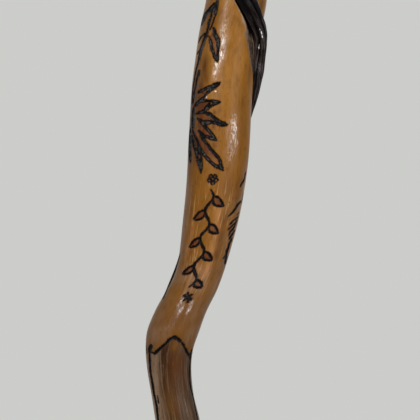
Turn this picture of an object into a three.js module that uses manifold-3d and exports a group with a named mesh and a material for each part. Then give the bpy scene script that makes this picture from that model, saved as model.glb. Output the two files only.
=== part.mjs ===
// Carved walking stick: a crooked hardwood shaft, a ridged vine let into a groove that winds round it,
// a turned knob on a stud at the top, and a ferrule with a push-on rubber tip at the foot.
// Millimetres, +Z up. The origin is the middle of the rubber tip's flat sole.
// The carved front faces -Y, and the knee of the crook points to -X.

import * as THREE from 'three';
import { mergeVertices } from 'three/addons/utils/BufferGeometryUtils.js';
import Module from 'manifold-3d';

const wasm = await Module();
wasm.setup();

// Gap between pieces that touch, and how far a cutter runs past the face that it opens
const seatGap = 0.3;
const overrun = 2;

// Shaft: foot end to knob shoulder, the reach of its crook, and its thickest radius
const shaftLength = 851;
const crookReach = 24;
const crookDepth = 6;
const shaftGirth = 18;
const shaftSides = 28;
const shaftRings = 92;

// Stations up the shaft, chosen by hand: height as a share of shaftLength, sideways place as a share of
// crookReach, place towards the back as a share of crookDepth, and radius as a share of shaftGirth
const shaftStationShares = [
  [0.000, 0.00, 0.00, 0.595],
  [0.080, 0.00, 0.00, 0.600],
  [0.200, 0.06, 0.10, 0.590],
  [0.330, 0.26, 0.35, 0.600],
  [0.440, 0.22, 0.40, 0.618],
  [0.540, -0.10, 0.00, 0.642],
  [0.600, -0.405, -0.45, 0.674],
  [0.643, -0.645, -0.75, 0.686],
  [0.660, -0.766, -0.85, 0.660],
  [0.677, -0.845, -0.90, 0.687],
  [0.690, -0.846, -0.90, 0.738],
  [0.703, -0.755, -0.85, 0.796],
  [0.717, -0.567, -0.75, 0.740],
  [0.730, -0.324, -0.50, 0.714],
  [0.743, -0.127, -0.20, 0.728],
  [0.757, 0.004, 0.00, 0.788],
  [0.784, 0.186, 0.20, 0.892],
  [0.810, 0.296, 0.35, 0.949],
  [0.837, 0.357, 0.50, 0.973],
  [0.867, 0.415, 0.55, 0.964],
  [0.897, 0.540, 0.50, 0.951],
  [0.924, 0.745, 0.35, 0.952],
  [0.962, 0.882, 0.15, 0.955],
  [1.000, 0.930, 0.00, 0.960],
];

// Shaft ends: the turned foot inside the ferrule and the tenon inside the collar
const footRadius = 8.6;
const tenonRadius = 11;

// Vine: how far below the knob shoulder it starts, its run down the shaft, its turn round the shaft from
// the front towards +X, its radius, and how far its middle stands off the wood
const vineTopDrop = 22.5;
const vineRun = 214;
const vineTurn = 345;
const vineStartTurn = -77;
const vineRadius = 6;
const vineStandOff = 0.8;
const vineRidges = 6;
const vineRidgeDepth = 0.7;
const vineTwist = 150;
const vineSteps = 78;

// Stations down the vine, chosen by hand: drop as a share of vineRun, turn as a share of vineTurn and
// radius as a share of vineRadius
const vineStationShares = [
  [0.000, 0.000, 0.62],
  [0.020, 0.030, 0.88],
  [0.060, 0.085, 1.02],
  [0.196, 0.272, 0.97],
  [0.250, 0.359, 0.83],
  [0.275, 0.409, 0.80],
  [0.303, 0.462, 0.83],
  [0.330, 0.495, 0.89],
  [0.356, 0.512, 0.92],
  [0.385, 0.520, 0.96],
  [0.409, 0.529, 0.88],
  [0.462, 0.567, 0.80],
  [0.489, 0.591, 0.76],
  [0.600, 0.688, 0.62],
  [0.720, 0.784, 0.48],
  [0.835, 0.875, 0.38],
  [0.883, 0.919, 0.35],
  [0.915, 0.954, 0.32],
  [0.955, 0.988, 0.28],
  [1.000, 1.000, 0.16],
];

// Pegs that pin the vine: share of the vine's steps where each stands, depth in the shaft, and how far
// each reaches into the vine as a share of the vine's radius there
const pegPlaceShares = { upper: 0.13, middle: 0.44, lower: 0.66 };
const pegRadius = 1.1;
const pegDepth = 7;
const pegReachShare = 0.35;
const pegSides = 10;

// Knob, with its stud and the collar under it
const collarHeight = 12;
const collarWall = 5.6;
const collarBeadProud = 1.1;
const knobHeight = 54;
const knobRadius = 24;
const knobNeckRadius = 13.5;
const knobFootRadius = 16.4;
const knobFootHeight = 4;
const knobCoveHeight = 6;
const knobBallHeight = 42;
const studRadius = 4;
const studDepth = 32;
const studReach = 30;
const studEndRoom = 1;

// Ferrule and its pin
const ferruleLength = 44;
const ferruleWall = 1;
const ferruleFloor = 2;
const ferruleBeadProud = 0.7;
const ferruleBeadHeight = 3;
const pinRadius = 0.8;
const pinHeadRadius = 1.7;
const pinHeadHeight = 0.8;
const pinLength = 6;
const pinDrop = 8;

// Rubber tip and the washer at the bottom of its socket
const tipSole = 9;
const tipHeight = 36;
const tipWall = 3.2;
const tipSoleRadius = 17;
const tipSoleEdge = 1.5;
const tipSkirtHeight = 8;
const tipRimHeight = 4.5;
const tipRimProud = 1.2;
const soleRingWidth = 1.6;
const soleRingDepth = 1.4;
const soleRingRadii = [6.2, 11];
const washerThickness = 1.6;
const washerBoreRadius = 3;

const roundSides = 32;

// Heights that follow from the pieces stacked at the foot and at the knob
const washerBase = tipSole + seatGap;
const ferruleBase = washerBase + washerThickness + seatGap;
const footBase = ferruleBase + ferruleFloor + seatGap;
const ferruleTop = ferruleBase + ferruleLength;
const shoulderHeight = footBase + shaftLength;
const tenonHeight = collarHeight;
const vineTopHeight = shoulderHeight - vineTopDrop;
const knobBase = shoulderHeight + collarHeight + 2 * seatGap;
const ferruleBore = footRadius + seatGap;
const ferruleRadius = ferruleBore + ferruleWall;
const socketRadius = ferruleRadius + seatGap;

const materials = {
  wood: { color: 0x9a6a30, roughness: 0.35, metalness: 0 },
  vine: { color: 0x241a1a, roughness: 0.3, metalness: 0 },
  peg: { color: 0xb08a58, roughness: 0.7, metalness: 0 },
  knob: { color: 0x8a5a28, roughness: 0.3, metalness: 0 },
  brass: { color: 0xb08d4a, roughness: 0.35, metalness: 1 },
  steel: { color: 0x9a9c9e, roughness: 0.4, metalness: 1 },
  rubber: { color: 0x1c1c1d, roughness: 0.8, metalness: 0 },
};

function radians(degrees) {
  return THREE.MathUtils.degToRad(degrees);
}

// Smooth curve through a table of stations: each row starts with the place along the curve
function between(stations, place) {
  const last = stations.length - 1;
  let row = stations.findIndex((station) => station[0] > place) - 1;
  if (row < 0) row = place <= stations[0][0] ? 0 : last - 1;
  const slope = (at, column) => {
    const before = stations[Math.max(at - 1, 0)];
    const after = stations[Math.min(at + 1, last)];
    return (after[column] - before[column]) / (after[0] - before[0]);
  };
  const start = stations[row];
  const end = stations[row + 1];
  const span = end[0] - start[0];
  const t = THREE.MathUtils.clamp((place - start[0]) / span, 0, 1);
  return start.slice(1).map((value, index) => {
    const column = index + 1;
    const rise = end[column] - value;
    const slopeIn = slope(row, column) * span;
    const slopeOut = slope(row + 1, column) * span;
    const bend = slopeIn + slopeOut - 2 * rise;
    return value + t * (slopeIn + t * (3 * rise - 2 * slopeIn - slopeOut + t * bend));
  });
}

// Centre of the shaft and its radius at a height above the ground
function shaftAt(height) {
  const share = (height - footBase) / shaftLength;
  const [side, depth, girth] = between(shaftStationShares, share);
  const centre = new THREE.Vector3(side * crookReach, depth * crookDepth, height);
  return { centre, radius: girth * shaftGirth };
}

// Horizontal slice through the leaning shaft: an ellipse, longer the way that the shaft leans
function shaftRing(height) {
  const reach = shaftLength / shaftRings;
  const { centre, radius } = shaftAt(height);
  const above = shaftAt(Math.min(height + reach, shoulderHeight)).centre;
  const below = shaftAt(Math.max(height - reach, footBase)).centre;
  const lean = above.clone().sub(below);
  const widthX = radius * Math.hypot(1, lean.x / lean.z);
  const widthY = radius * Math.hypot(1, lean.y / lean.z);
  return roundRing(centre, widthX, widthY, shaftSides);
}

function roundRing(centre, widthX, widthY, sides) {
  const ring = [];
  for (let side = 0; side < sides; side += 1) {
    const angle = (side / sides) * 2 * Math.PI;
    ring.push(new THREE.Vector3(
      centre.x + widthX * Math.cos(angle), centre.y + widthY * Math.sin(angle), centre.z));
  }
  return ring;
}

// Closed skin over a run of rings with equal counts of points, each ring counter-clockwise as seen from
// the end that the run leads to
function loft(rings) {
  const sides = rings[0].length;
  const positions = [];
  const faces = [];
  const middle = (ring) => ring.reduce(
    (sum, point) => sum.add(point), new THREE.Vector3()).divideScalar(ring.length);
  rings.flat().forEach((point) => positions.push(...point.toArray()));
  positions.push(...middle(rings[0]).toArray(), ...middle(rings.at(-1)).toArray());
  const startCap = rings.length * sides;
  const endCap = startCap + 1;
  for (let row = 0; row < rings.length - 1; row += 1) {
    for (let side = 0; side < sides; side += 1) {
      const next = (side + 1) % sides;
      const low = row * sides;
      const high = low + sides;
      faces.push(low + side, low + next, high + next, low + side, high + next, high + side);
    }
  }
  for (let side = 0; side < sides; side += 1) {
    const next = (side + 1) % sides;
    const last = startCap - sides;
    faces.push(startCap, next, side, endCap, last + side, last + next);
  }
  const geometry = new THREE.BufferGeometry();
  geometry.setAttribute('position', new THREE.Float32BufferAttribute(positions, 3));
  geometry.setIndex(faces);
  return geometry;
}

// Revolved piece about Z: the outline is [radius, height] pairs that close on themselves or on the axis
function turned(outline, sides = roundSides) {
  const points = outline.map(([radius, height]) => new THREE.Vector2(radius, height));
  return new THREE.LatheGeometry(points, sides).rotateX(Math.PI / 2);
}

function rod(radius, base, height, sides = roundSides) {
  const bar = new THREE.CylinderGeometry(radius, radius, height, sides);
  return bar.rotateX(Math.PI / 2).translate(0, 0, base + height / 2);
}

function toSolid(geometry) {
  const bare = geometry.clone();
  bare.deleteAttribute('normal');
  bare.deleteAttribute('uv');
  const merged = mergeVertices(bare);
  return new wasm.Manifold(new wasm.Mesh({
    numProp: 3,
    vertProperties: new Float32Array(merged.attributes.position.array),
    triVerts: new Uint32Array(merged.index.array),
  }));
}

function toGeometry(solid) {
  const mesh = solid.getMesh();
  const geometry = new THREE.BufferGeometry();
  geometry.setAttribute('position', new THREE.BufferAttribute(mesh.vertProperties, 3));
  geometry.setIndex(new THREE.BufferAttribute(mesh.triVerts, 1));
  return geometry;
}

function cut(body, ...cutters) {
  return toGeometry(cutters.reduce((solid, cutter) => solid.subtract(toSolid(cutter)), toSolid(body)));
}

// Where the vine's middle lies at a share of its run, with the outward direction and the radius there
function vineAt(share) {
  const [turnShare, radiusShare] = between(vineStationShares, share);
  const height = vineTopHeight - share * vineRun;
  const angle = radians(vineStartTurn + turnShare * vineTurn);
  const outward = new THREE.Vector3(Math.sin(angle), -Math.cos(angle), 0);
  const radius = radiusShare * vineRadius;
  const shaft = shaftAt(height);
  const distance = shaft.radius + vineStandOff * radiusShare;
  return { centre: shaft.centre.clone().addScaledVector(outward, distance), outward, radius };
}

// Cross-sections down the vine. Ridges run along it and turn slowly round it. A grown vine, with no
// ridges, is the cutter for its groove.
function vineSections(growth, ridgeDepth) {
  const sides = vineRidges * 2;
  const rings = [];
  for (let step = 0; step <= vineSteps; step += 1) {
    const share = step / vineSteps;
    const { centre, outward, radius } = vineAt(share);
    const ahead = vineAt(Math.min(share + 1 / vineSteps, 1)).centre;
    const behind = vineAt(Math.max(share - 1 / vineSteps, 0)).centre;
    const along = ahead.sub(behind).normalize();
    const across = new THREE.Vector3().crossVectors(along, outward).normalize();
    const out = new THREE.Vector3().crossVectors(across, along).normalize();
    const endGrowth = step === 0 || step === vineSteps ? growth : 0;
    const shift = step === 0 ? -endGrowth : endGrowth;
    const ring = [];
    for (let side = 0; side < sides; side += 1) {
      const valley = side % 2 === 1 ? ridgeDepth * (radius / vineRadius) : 0;
      const angle = (side / sides) * 2 * Math.PI + radians(vineTwist * share);
      const reach = radius + growth - valley;
      const point = centre.clone().addScaledVector(along, shift);
      point.addScaledVector(out, reach * Math.cos(angle));
      point.addScaledVector(across, reach * Math.sin(angle));
      ring.push(point);
    }
    rings.push(ring);
  }
  return loft(rings);
}

// A peg, or with growth its hole, standing square to the shaft and reaching from inside it into the vine
function vinePeg(share, growth) {
  const { centre, outward, radius } = vineAt(share);
  const inner = centre.clone().addScaledVector(outward, -radius - pegDepth - growth);
  const outer = centre.clone().addScaledVector(outward, radius * pegReachShare + growth);
  const bar = new THREE.CylinderGeometry(
    pegRadius + growth, pegRadius + growth, inner.distanceTo(outer), pegSides);
  bar.applyQuaternion(new THREE.Quaternion().setFromUnitVectors(new THREE.Vector3(0, 1, 0), outward));
  const middle = inner.clone().lerp(outer, 1 / 2);
  return bar.translate(middle.x, middle.y, middle.z);
}

function vineShape() {
  const holes = Object.values(pegPlaceShares).map((share) => vinePeg(share, seatGap));
  return cut(vineSections(0, vineRidgeDepth), ...holes);
}

function shaftShape(knobPlace) {
  const rings = [];
  const foot = shaftAt(footBase).centre;
  const shoulder = shaftAt(shoulderHeight).centre;
  const ferruleShoulder = ferruleTop + seatGap;
  rings.push(roundRing(foot, footRadius, footRadius, shaftSides));
  const footTop = foot.clone().setZ(ferruleShoulder);
  rings.push(roundRing(footTop, footRadius, footRadius, shaftSides));
  for (let step = 0; step <= shaftRings; step += 1) {
    const share = step / shaftRings;
    rings.push(shaftRing(THREE.MathUtils.lerp(ferruleShoulder, shoulderHeight, share)));
  }
  rings.push(roundRing(shoulder, tenonRadius, tenonRadius, shaftSides));
  const tenonTop = shoulder.clone().setZ(shoulderHeight + tenonHeight);
  rings.push(roundRing(tenonTop, tenonRadius, tenonRadius, shaftSides));

  const groove = vineSections(seatGap, 0);
  const pegHoles = Object.values(pegPlaceShares).map((share) => vinePeg(share, seatGap));
  const studHole = rod(
    studRadius + seatGap, knobBase - studDepth - studEndRoom, studDepth + studEndRoom + overrun);
  studHole.translate(knobPlace.x, knobPlace.y, 0);
  return cut(loft(rings), groove, ...pegHoles, studHole, pinShape(seatGap));
}

// Domed nail through the ferrule's wall into the foot, from the front
function pinShape(growth) {
  const outline = [
    [0, -pinLength - growth],
    [pinRadius + growth, -pinLength - growth],
    [pinRadius + growth, 0],
  ];
  const dome = [
    [pinHeadRadius, seatGap],
    [pinHeadRadius, seatGap + pinHeadHeight / 3],
    [pinHeadRadius * 0.7, seatGap + pinHeadHeight * 0.8],
    [0, seatGap + pinHeadHeight],
  ];
  const end = growth > 0 ? [[pinRadius + growth, overrun], [0, overrun]] : [[pinRadius, seatGap], ...dome];
  const shape = turned([...outline, ...end], pegSides);
  shape.rotateX(Math.PI / 2);
  return shape.translate(0, -ferruleRadius, ferruleTop - pinDrop);
}

function ferruleShape() {
  const beadBase = ferruleTop - ferruleBeadHeight;
  const outline = [
    [0, ferruleBase],
    [ferruleRadius - ferruleWall, ferruleBase],
    [ferruleRadius, ferruleBase + ferruleWall],
    [ferruleRadius, beadBase],
    [ferruleRadius + ferruleBeadProud, beadBase + ferruleBeadHeight / 3],
    [ferruleRadius + ferruleBeadProud, ferruleTop - ferruleBeadHeight / 3],
    [ferruleRadius, ferruleTop],
    [ferruleBore, ferruleTop],
    [ferruleBore, ferruleBase + ferruleFloor],
    [0, ferruleBase + ferruleFloor],
  ];
  return cut(turned(outline), pinShape(seatGap));
}

function washerShape() {
  const radius = socketRadius - seatGap;
  return turned([
    [washerBoreRadius, washerBase],
    [radius, washerBase],
    [radius, washerBase + washerThickness],
    [washerBoreRadius, washerBase + washerThickness],
    [washerBoreRadius, washerBase],
  ]);
}

// Rubber tip: a flared sole with two ring grooves, a waisted wall and a thick rim at the mouth
function tipShape() {
  const wallRadius = socketRadius + tipWall;
  const rings = soleRingRadii.flatMap((radius) => [
    [radius - soleRingWidth / 2, 0],
    [radius - soleRingWidth / 2, soleRingDepth],
    [radius + soleRingWidth / 2, soleRingDepth],
    [radius + soleRingWidth / 2, 0],
  ]);
  const rimBase = tipHeight - tipRimHeight;
  const outline = [
    [0, 0],
    ...rings,
    [tipSoleRadius - tipSoleEdge, 0],
    [tipSoleRadius, tipSoleEdge],
    [tipSoleRadius, tipSkirtHeight / 2],
    [(tipSoleRadius + wallRadius) / 2, tipSkirtHeight],
    [wallRadius, tipSole + tipSkirtHeight],
    [wallRadius, rimBase - tipRimProud],
    [wallRadius + tipRimProud, rimBase],
    [wallRadius + tipRimProud, tipHeight - tipRimProud],
    [wallRadius, tipHeight],
    [socketRadius, tipHeight],
    [socketRadius, tipSole],
    [0, tipSole],
  ];
  return turned(outline);
}

// Collar: a bored ring with a bead at each edge and a shallow cove between
function collarShape() {
  const bore = tenonRadius + seatGap;
  const face = bore + collarWall;
  const bead = face + collarBeadProud;
  const beadHeight = collarHeight / 4;
  const cove = face - collarBeadProud / 2;
  return turned([
    [bore, 0],
    [face, 0],
    [bead, beadHeight / 3],
    [bead, beadHeight * 2 / 3],
    [face, beadHeight],
    [cove, collarHeight / 2],
    [face, collarHeight - beadHeight],
    [bead, collarHeight - beadHeight * 2 / 3],
    [bead, collarHeight - beadHeight / 3],
    [face, collarHeight],
    [bore, collarHeight],
    [bore, 0],
  ]);
}

// Knob: a spreading foot, a cove up to its neck and a slightly flattened ball, bored for the stud
function knobShape() {
  const quarter = Math.PI / 2;
  const coveArcs = 4;
  const ballArcs = 14;
  const outline = [[0, 0], [knobFootRadius, 0]];
  for (let arc = 0; arc <= coveArcs; arc += 1) {
    const angle = quarter * (arc / coveArcs);
    outline.push([
      knobFootRadius - (knobFootRadius - knobNeckRadius) * Math.sin(angle),
      knobFootHeight + knobCoveHeight * (1 - Math.cos(angle)),
    ]);
  }
  const ballReach = knobBallHeight / 2;
  const ballMiddle = knobHeight - ballReach;
  const neckAngle = -Math.acos(knobNeckRadius / knobRadius);
  for (let arc = 0; arc <= ballArcs; arc += 1) {
    const angle = THREE.MathUtils.lerp(neckAngle, quarter, arc / ballArcs);
    const radius = arc === ballArcs ? 0 : knobRadius * Math.cos(angle);
    outline.push([radius, ballMiddle + ballReach * Math.sin(angle)]);
  }
  const stud = rod(studRadius + seatGap, -overrun, studReach + studEndRoom + overrun);
  return cut(turned(outline), stud);
}

function piece(name, geometry, look) {
  const mesh = new THREE.Mesh(geometry, new THREE.MeshStandardMaterial(materials[look]));
  mesh.name = name;
  return mesh;
}

const stick = new THREE.Group();
const knobPlace = shaftAt(shoulderHeight).centre;

stick.add(piece('shaft', shaftShape(knobPlace), 'wood'));
stick.add(piece('vine', vineShape(), 'vine'));
for (const [place, share] of Object.entries(pegPlaceShares)) {
  stick.add(piece(`vine_peg_${place}`, vinePeg(share, 0), 'peg'));
}

const handle = new THREE.Group();
handle.position.set(knobPlace.x, knobPlace.y, knobBase);
handle.add(piece('handle_knob', knobShape(), 'knob'));
handle.add(piece('handle_stud', rod(studRadius, -studDepth, studDepth + studReach), 'steel'));
const collar = piece('handle_collar', collarShape(), 'brass');
collar.position.z = -collarHeight - seatGap;
handle.add(collar);
stick.add(handle);

stick.add(piece('ferrule', ferruleShape(), 'brass'));
stick.add(piece('ferrule_pin', pinShape(0), 'brass'));
stick.add(piece('tip_washer', washerShape(), 'steel'));
stick.add(piece('rubber_tip', tipShape(), 'rubber'));

export default stick;
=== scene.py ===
# The looks of a carved walking stick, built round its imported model.
# Metres, +Z up. The carved front faces -Y, and angles round the shaft run from the front towards +X.

import math

import bmesh
import bpy
import numpy as np
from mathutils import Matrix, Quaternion, Vector


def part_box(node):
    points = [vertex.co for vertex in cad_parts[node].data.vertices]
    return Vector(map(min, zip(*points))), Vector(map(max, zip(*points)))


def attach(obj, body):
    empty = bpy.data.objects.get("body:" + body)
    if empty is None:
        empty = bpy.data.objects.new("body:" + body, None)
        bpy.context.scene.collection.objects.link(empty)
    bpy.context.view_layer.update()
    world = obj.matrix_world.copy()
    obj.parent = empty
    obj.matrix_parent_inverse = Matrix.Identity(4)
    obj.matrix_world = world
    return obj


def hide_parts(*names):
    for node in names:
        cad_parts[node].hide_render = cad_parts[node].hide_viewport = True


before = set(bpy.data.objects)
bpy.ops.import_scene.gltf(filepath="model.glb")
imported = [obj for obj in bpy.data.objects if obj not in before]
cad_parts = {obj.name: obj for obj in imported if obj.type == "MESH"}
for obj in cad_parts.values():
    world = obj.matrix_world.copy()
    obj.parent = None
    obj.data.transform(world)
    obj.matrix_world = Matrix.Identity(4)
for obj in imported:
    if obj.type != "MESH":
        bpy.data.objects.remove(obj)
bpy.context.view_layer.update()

MM = 0.001

# The photograph's frame, and the real size of one of its pixels at the shaft
PHOTO_MIDDLE = 210
PIXEL = 0.57 * MM
PHOTO_TOP_HEIGHT = 800 * MM
PHOTO_ORIGIN_PIXEL = 205
CAMERA_DISTANCE = 1200 * MM
CAMERA_SENSOR = 36 * MM
CAMERA_HEIGHT = PHOTO_TOP_HEIGHT - PHOTO_MIDDLE * PIXEL
CAMERA_SIDE = (PHOTO_MIDDLE - PHOTO_ORIGIN_PIXEL) * PIXEL

# Gap between pieces that touch
SEAT_GAP = 0.3 * MM

# The shaft's crook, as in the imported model
SHAFT_LENGTH = 851 * MM
CROOK_REACH = 24 * MM
CROOK_DEPTH = 6 * MM
SHAFT_GIRTH = 18 * MM
LEAN_REACH = 9 * MM
FOOT_RADIUS = 8.6 * MM
TENON_RADIUS = 11 * MM
STUD_BORE = 4.3 * MM
STUD_BORE_DEPTH = 33 * MM

# Height share, sideways share of the reach, backward share of the depth, share of the girth
SHAFT_STATION_SHARES = [
    (0.000, 0.00, 0.00, 0.595), (0.080, 0.00, 0.00, 0.600), (0.200, 0.06, 0.10, 0.590),
    (0.330, 0.26, 0.35, 0.600), (0.440, 0.22, 0.40, 0.618), (0.540, -0.10, 0.00, 0.642),
    (0.600, -0.405, -0.45, 0.674), (0.643, -0.645, -0.75, 0.686), (0.660, -0.766, -0.85, 0.660),
    (0.677, -0.845, -0.90, 0.687), (0.690, -0.846, -0.90, 0.738), (0.703, -0.755, -0.85, 0.796),
    (0.717, -0.567, -0.75, 0.740), (0.730, -0.324, -0.50, 0.714), (0.743, -0.127, -0.20, 0.728),
    (0.757, 0.004, 0.00, 0.788), (0.784, 0.186, 0.20, 0.892), (0.810, 0.296, 0.35, 0.949),
    (0.837, 0.357, 0.50, 0.973), (0.867, 0.415, 0.55, 0.964), (0.897, 0.540, 0.50, 0.951),
    (0.924, 0.745, 0.35, 0.952), (0.962, 0.882, 0.15, 0.955), (1.000, 0.930, 0.00, 0.960),
]

# The vine's run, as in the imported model
VINE_TOP_DROP = 22.5 * MM
VINE_RUN = 214 * MM
VINE_TURN = 345
VINE_START_TURN = -77
VINE_RADIUS = 6 * MM
VINE_STAND_OFF = 0.8 * MM
VINE_RIDGES = 6
VINE_RIDGE_DEPTH = 0.7 * MM
VINE_TWIST = 150

# Share of the run, share of the turn, share of the radius
VINE_STATION_SHARES = [
    (0.000, 0.000, 0.62), (0.020, 0.030, 0.88), (0.060, 0.085, 1.02), (0.196, 0.272, 0.97),
    (0.250, 0.359, 0.83), (0.275, 0.409, 0.80), (0.303, 0.462, 0.83), (0.330, 0.495, 0.89),
    (0.356, 0.512, 0.92), (0.385, 0.520, 0.96), (0.409, 0.529, 0.88), (0.462, 0.567, 0.80),
    (0.489, 0.591, 0.76), (0.600, 0.688, 0.62), (0.720, 0.784, 0.48), (0.835, 0.875, 0.38),
    (0.883, 0.919, 0.35), (0.915, 0.954, 0.32), (0.955, 0.988, 0.28), (1.000, 1.000, 0.16),
]

FOOT_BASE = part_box("shaft")[0].z
TENON_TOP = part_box("shaft")[1].z
SHOULDER = FOOT_BASE + SHAFT_LENGTH
FERRULE_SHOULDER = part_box("ferrule")[1].z + SEAT_GAP
VINE_TOP = SHOULDER - VINE_TOP_DROP


def smooth_table(stations, places):
    """Values at many places along a smooth curve through a table of stations."""
    table = np.array(stations)
    knots, values = table[:, 0], table[:, 1:]
    padded_knots = np.concatenate([knots[:1], knots, knots[-1:]])
    padded = np.vstack([values[:1], values, values[-1:]])
    slopes = (padded[2:] - padded[:-2]) / (padded_knots[2:] - padded_knots[:-2])[:, None]
    places = np.atleast_1d(places)
    row = np.clip(np.searchsorted(knots, places, side="right") - 1, 0, len(knots) - 2)
    span = (knots[row + 1] - knots[row])[:, None]
    t = np.clip((places - knots[row])[:, None] / span, 0, 1)
    rise = values[row + 1] - values[row]
    slope_in, slope_out = slopes[row] * span, slopes[row + 1] * span
    bend = slope_in + slope_out - 2 * rise
    return values[row] + t * (slope_in + t * (3 * rise - 2 * slope_in - slope_out + t * bend))


def shaft_at(heights):
    """The shaft's middle across, its middle in depth and its radius at each height."""
    side, depth, girth = smooth_table(SHAFT_STATION_SHARES, (heights - FOOT_BASE) / SHAFT_LENGTH).T
    return side * CROOK_REACH, depth * CROOK_DEPTH, girth * SHAFT_GIRTH


def shaft_slice(heights):
    """Middle and half widths of the ellipse that a level cut through the leaning shaft gives."""
    heights = np.atleast_1d(np.asarray(heights, float))
    side, depth, radius = shaft_at(heights)
    above, below = np.minimum(heights + LEAN_REACH, SHOULDER), np.maximum(heights - LEAN_REACH, FOOT_BASE)
    side_up, depth_up, _ = shaft_at(above)
    side_low, depth_low, _ = shaft_at(below)
    rise = above - below
    width = radius * np.hypot(1, (side_up - side_low) / rise)
    thickness = radius * np.hypot(1, (depth_up - depth_low) / rise)
    return side, depth, width, thickness


def on_shaft(angles, heights, sink=0.0):
    """Places on the shaft's plain surface, sunk into the wood."""
    side, depth, width, thickness = shaft_slice(heights)
    x = side + (width - sink) * np.sin(angles)
    y = depth - (thickness - sink) * np.cos(angles)
    return np.stack([x, y, np.broadcast_to(heights, x.shape)], axis=-1)


# Passes that find the depth of a point of the photograph, and how near to the outline it may lie
DEPTH_PASSES = 8
TURN_LIMIT = 0.995
LEAST_FACING = 0.42


def from_pixels(points):
    """Angle and height on the shaft's front of points read from the photograph."""
    pixels = np.array(points, float)
    across = (pixels[:, 0] - PHOTO_MIDDLE) * PIXEL
    up = (PHOTO_MIDDLE - pixels[:, 1]) * PIXEL
    depth = np.zeros(len(pixels))
    for _ in range(DEPTH_PASSES):
        spread = (CAMERA_DISTANCE + depth) / CAMERA_DISTANCE
        heights = CAMERA_HEIGHT + up * spread
        side, middle, width, thickness = shaft_slice(heights)
        turn = np.clip((CAMERA_SIDE + across * spread - side) / width, -TURN_LIMIT, TURN_LIMIT)
        depth = middle - thickness * np.sqrt(1 - turn**2)
    return np.stack([np.arcsin(turn), heights], axis=1)


def drawn(points, weight):
    """Places of a line read from the photograph, and weights that look even on the side that turns away."""
    places = from_pixels(points)
    run = np.gradient(np.array(points, float), axis=0)
    upright = run[:, 1] ** 2 / (run**2).sum(axis=1)
    spread = 1 / np.maximum(np.cos(places[:, 0]), LEAST_FACING)
    return places, weight * PIXEL * (1 + (spread - 1) * upright)


# Carving

INK_LIMIT = 3 * MM
STROKE_DEPTH = 0.55 * MM
FILL_DEPTH = 0.3 * MM
FULL_CUT_WIDTH = 0.8 * MM

# Black lines on the front, each with its weight and its points in pixels of the photograph
STEM_PIXELS = [
    (3.0, [(217.6, -6), (217.3, 0), (216.6, 8), (215.2, 16)]),
    (1.3, [(214.8, 17), (213.6, 21), (211.6, 26.5), (209.6, 30.5)]),
    (2.4, [(211.6, 14.5), (210.2, 18.5), (209, 22.5), (208, 27), (207.3, 31)]),
    (3.2, [(207.3, 31), (206.2, 35), (204, 40), (202.2, 46), (200.7, 51), (199.8, 55), (198.6, 60)]),
    (1.9, [(198.6, 60), (197.4, 65), (195.8, 70), (194.8, 76), (193.8, 82), (193, 88), (192.6, 94),
        (192.3, 103)]),
    (1.6, [(198.4, 74), (197, 79), (196, 84), (195, 89), (194, 96), (193, 104)]),
    (1.6, [(207, 33.4), (205.6, 33.8), (203.2, 35), (201, 37.2), (199.4, 40), (198.2, 42.6)]),
    (1.5, [(201, 50), (198.6, 51.6), (196.6, 53.8)]),
    (2.8, [(199.3, 71.2), (198.4, 74.4), (197.6, 77)]),
    (1.5, [(206, 36), (208.6, 36.6), (209.6, 38.8)]),
]

# Spray of strokes at the right edge
EDGE_PIXELS = [
    (1.7, [(246, 172), (244.6, 178.5), (242.4, 182.6), (239.8, 186.4)]),
    (1.9, [(241.4, 200.6), (237.6, 204.2), (235, 208.6), (231.8, 213), (227.8, 216.8)]),
    (1.6, [(238.4, 216.4), (234, 220), (229.2, 224.8)]),
    (1.6, [(237.2, 220.3), (232.8, 225), (228, 229.8)]),
    (1.6, [(235.2, 225.6), (232, 229.4), (229.4, 232.4)]),
    (1.8, [(234.6, 230.6), (231.9, 234.6), (228.8, 239.2)]),
    (2.0, [(232, 238.6), (229.6, 243.6), (228.2, 247.2)]),
    (2.2, [(229.2, 246), (227, 252), (226, 258), (225.4, 263.3)]),
    (1.1, [(243.6, 193), (242.8, 199), (241.8, 204)]),
    (1.1, [(238.6, 212), (236.4, 215.4)]),
    (1.1, [(236.4, 223), (233.4, 227.4)]),
    (1.3, [(233.6, 228.4), (230.4, 232.6), (228.4, 236)]),
    (1.4, [(230.6, 241), (228.4, 244.4)]),
    (1.2, [(227.6, 248), (225.6, 251.4)]),
    (1.2, [(225.4, 255), (223.4, 258.6)]),
]

# Line inside the left edge over the knee
LEFT_PIXELS = [
    (2.6, [(179.8, 255), (177.4, 262), (174.6, 270), (172, 278), (168.6, 286), (165.4, 293),
        (163.6, 298.5)]),
]

# Edge of the dark stained panel under the knee: its arch, its left curl and its long side lines
PANEL_ARCH_PIXELS = [
    (154.7, 353.9), (157.4, 351.2), (159.6, 348.9), (163.2, 345.8), (166.8, 342.7), (169, 340),
    (171.3, 338.3), (174.8, 337.2), (178, 339.2), (181, 342), (183.8, 345), (185.5, 348.5), (187.3, 352.5),
    (189.6, 356.7), (190.1, 359),
]
PANEL_LEFT_PIXELS = [
    (151.4, 346.2), (149.8, 348.4), (149.3, 351.4), (149.6, 359), (149.9, 366), (150.4, 372.5),
    (151.5, 378.8), (152.5, 385), (153.5, 392.5), (154.8, 399), (156.2, 406), (156.9, 412.5), (157.7, 419),
    (159.4, 432), (161.6, 448), (164.6, 466),
]
PANEL_RIGHT_PIXELS = [
    (191.6, 348.8), (190.7, 353), (190, 359), (189.5, 368), (189.6, 376), (190.4, 385), (192.2, 393),
    (194.2, 401), (196, 411), (198.2, 422), (200.6, 436), (202.6, 450), (203.6, 466),
]
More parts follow.
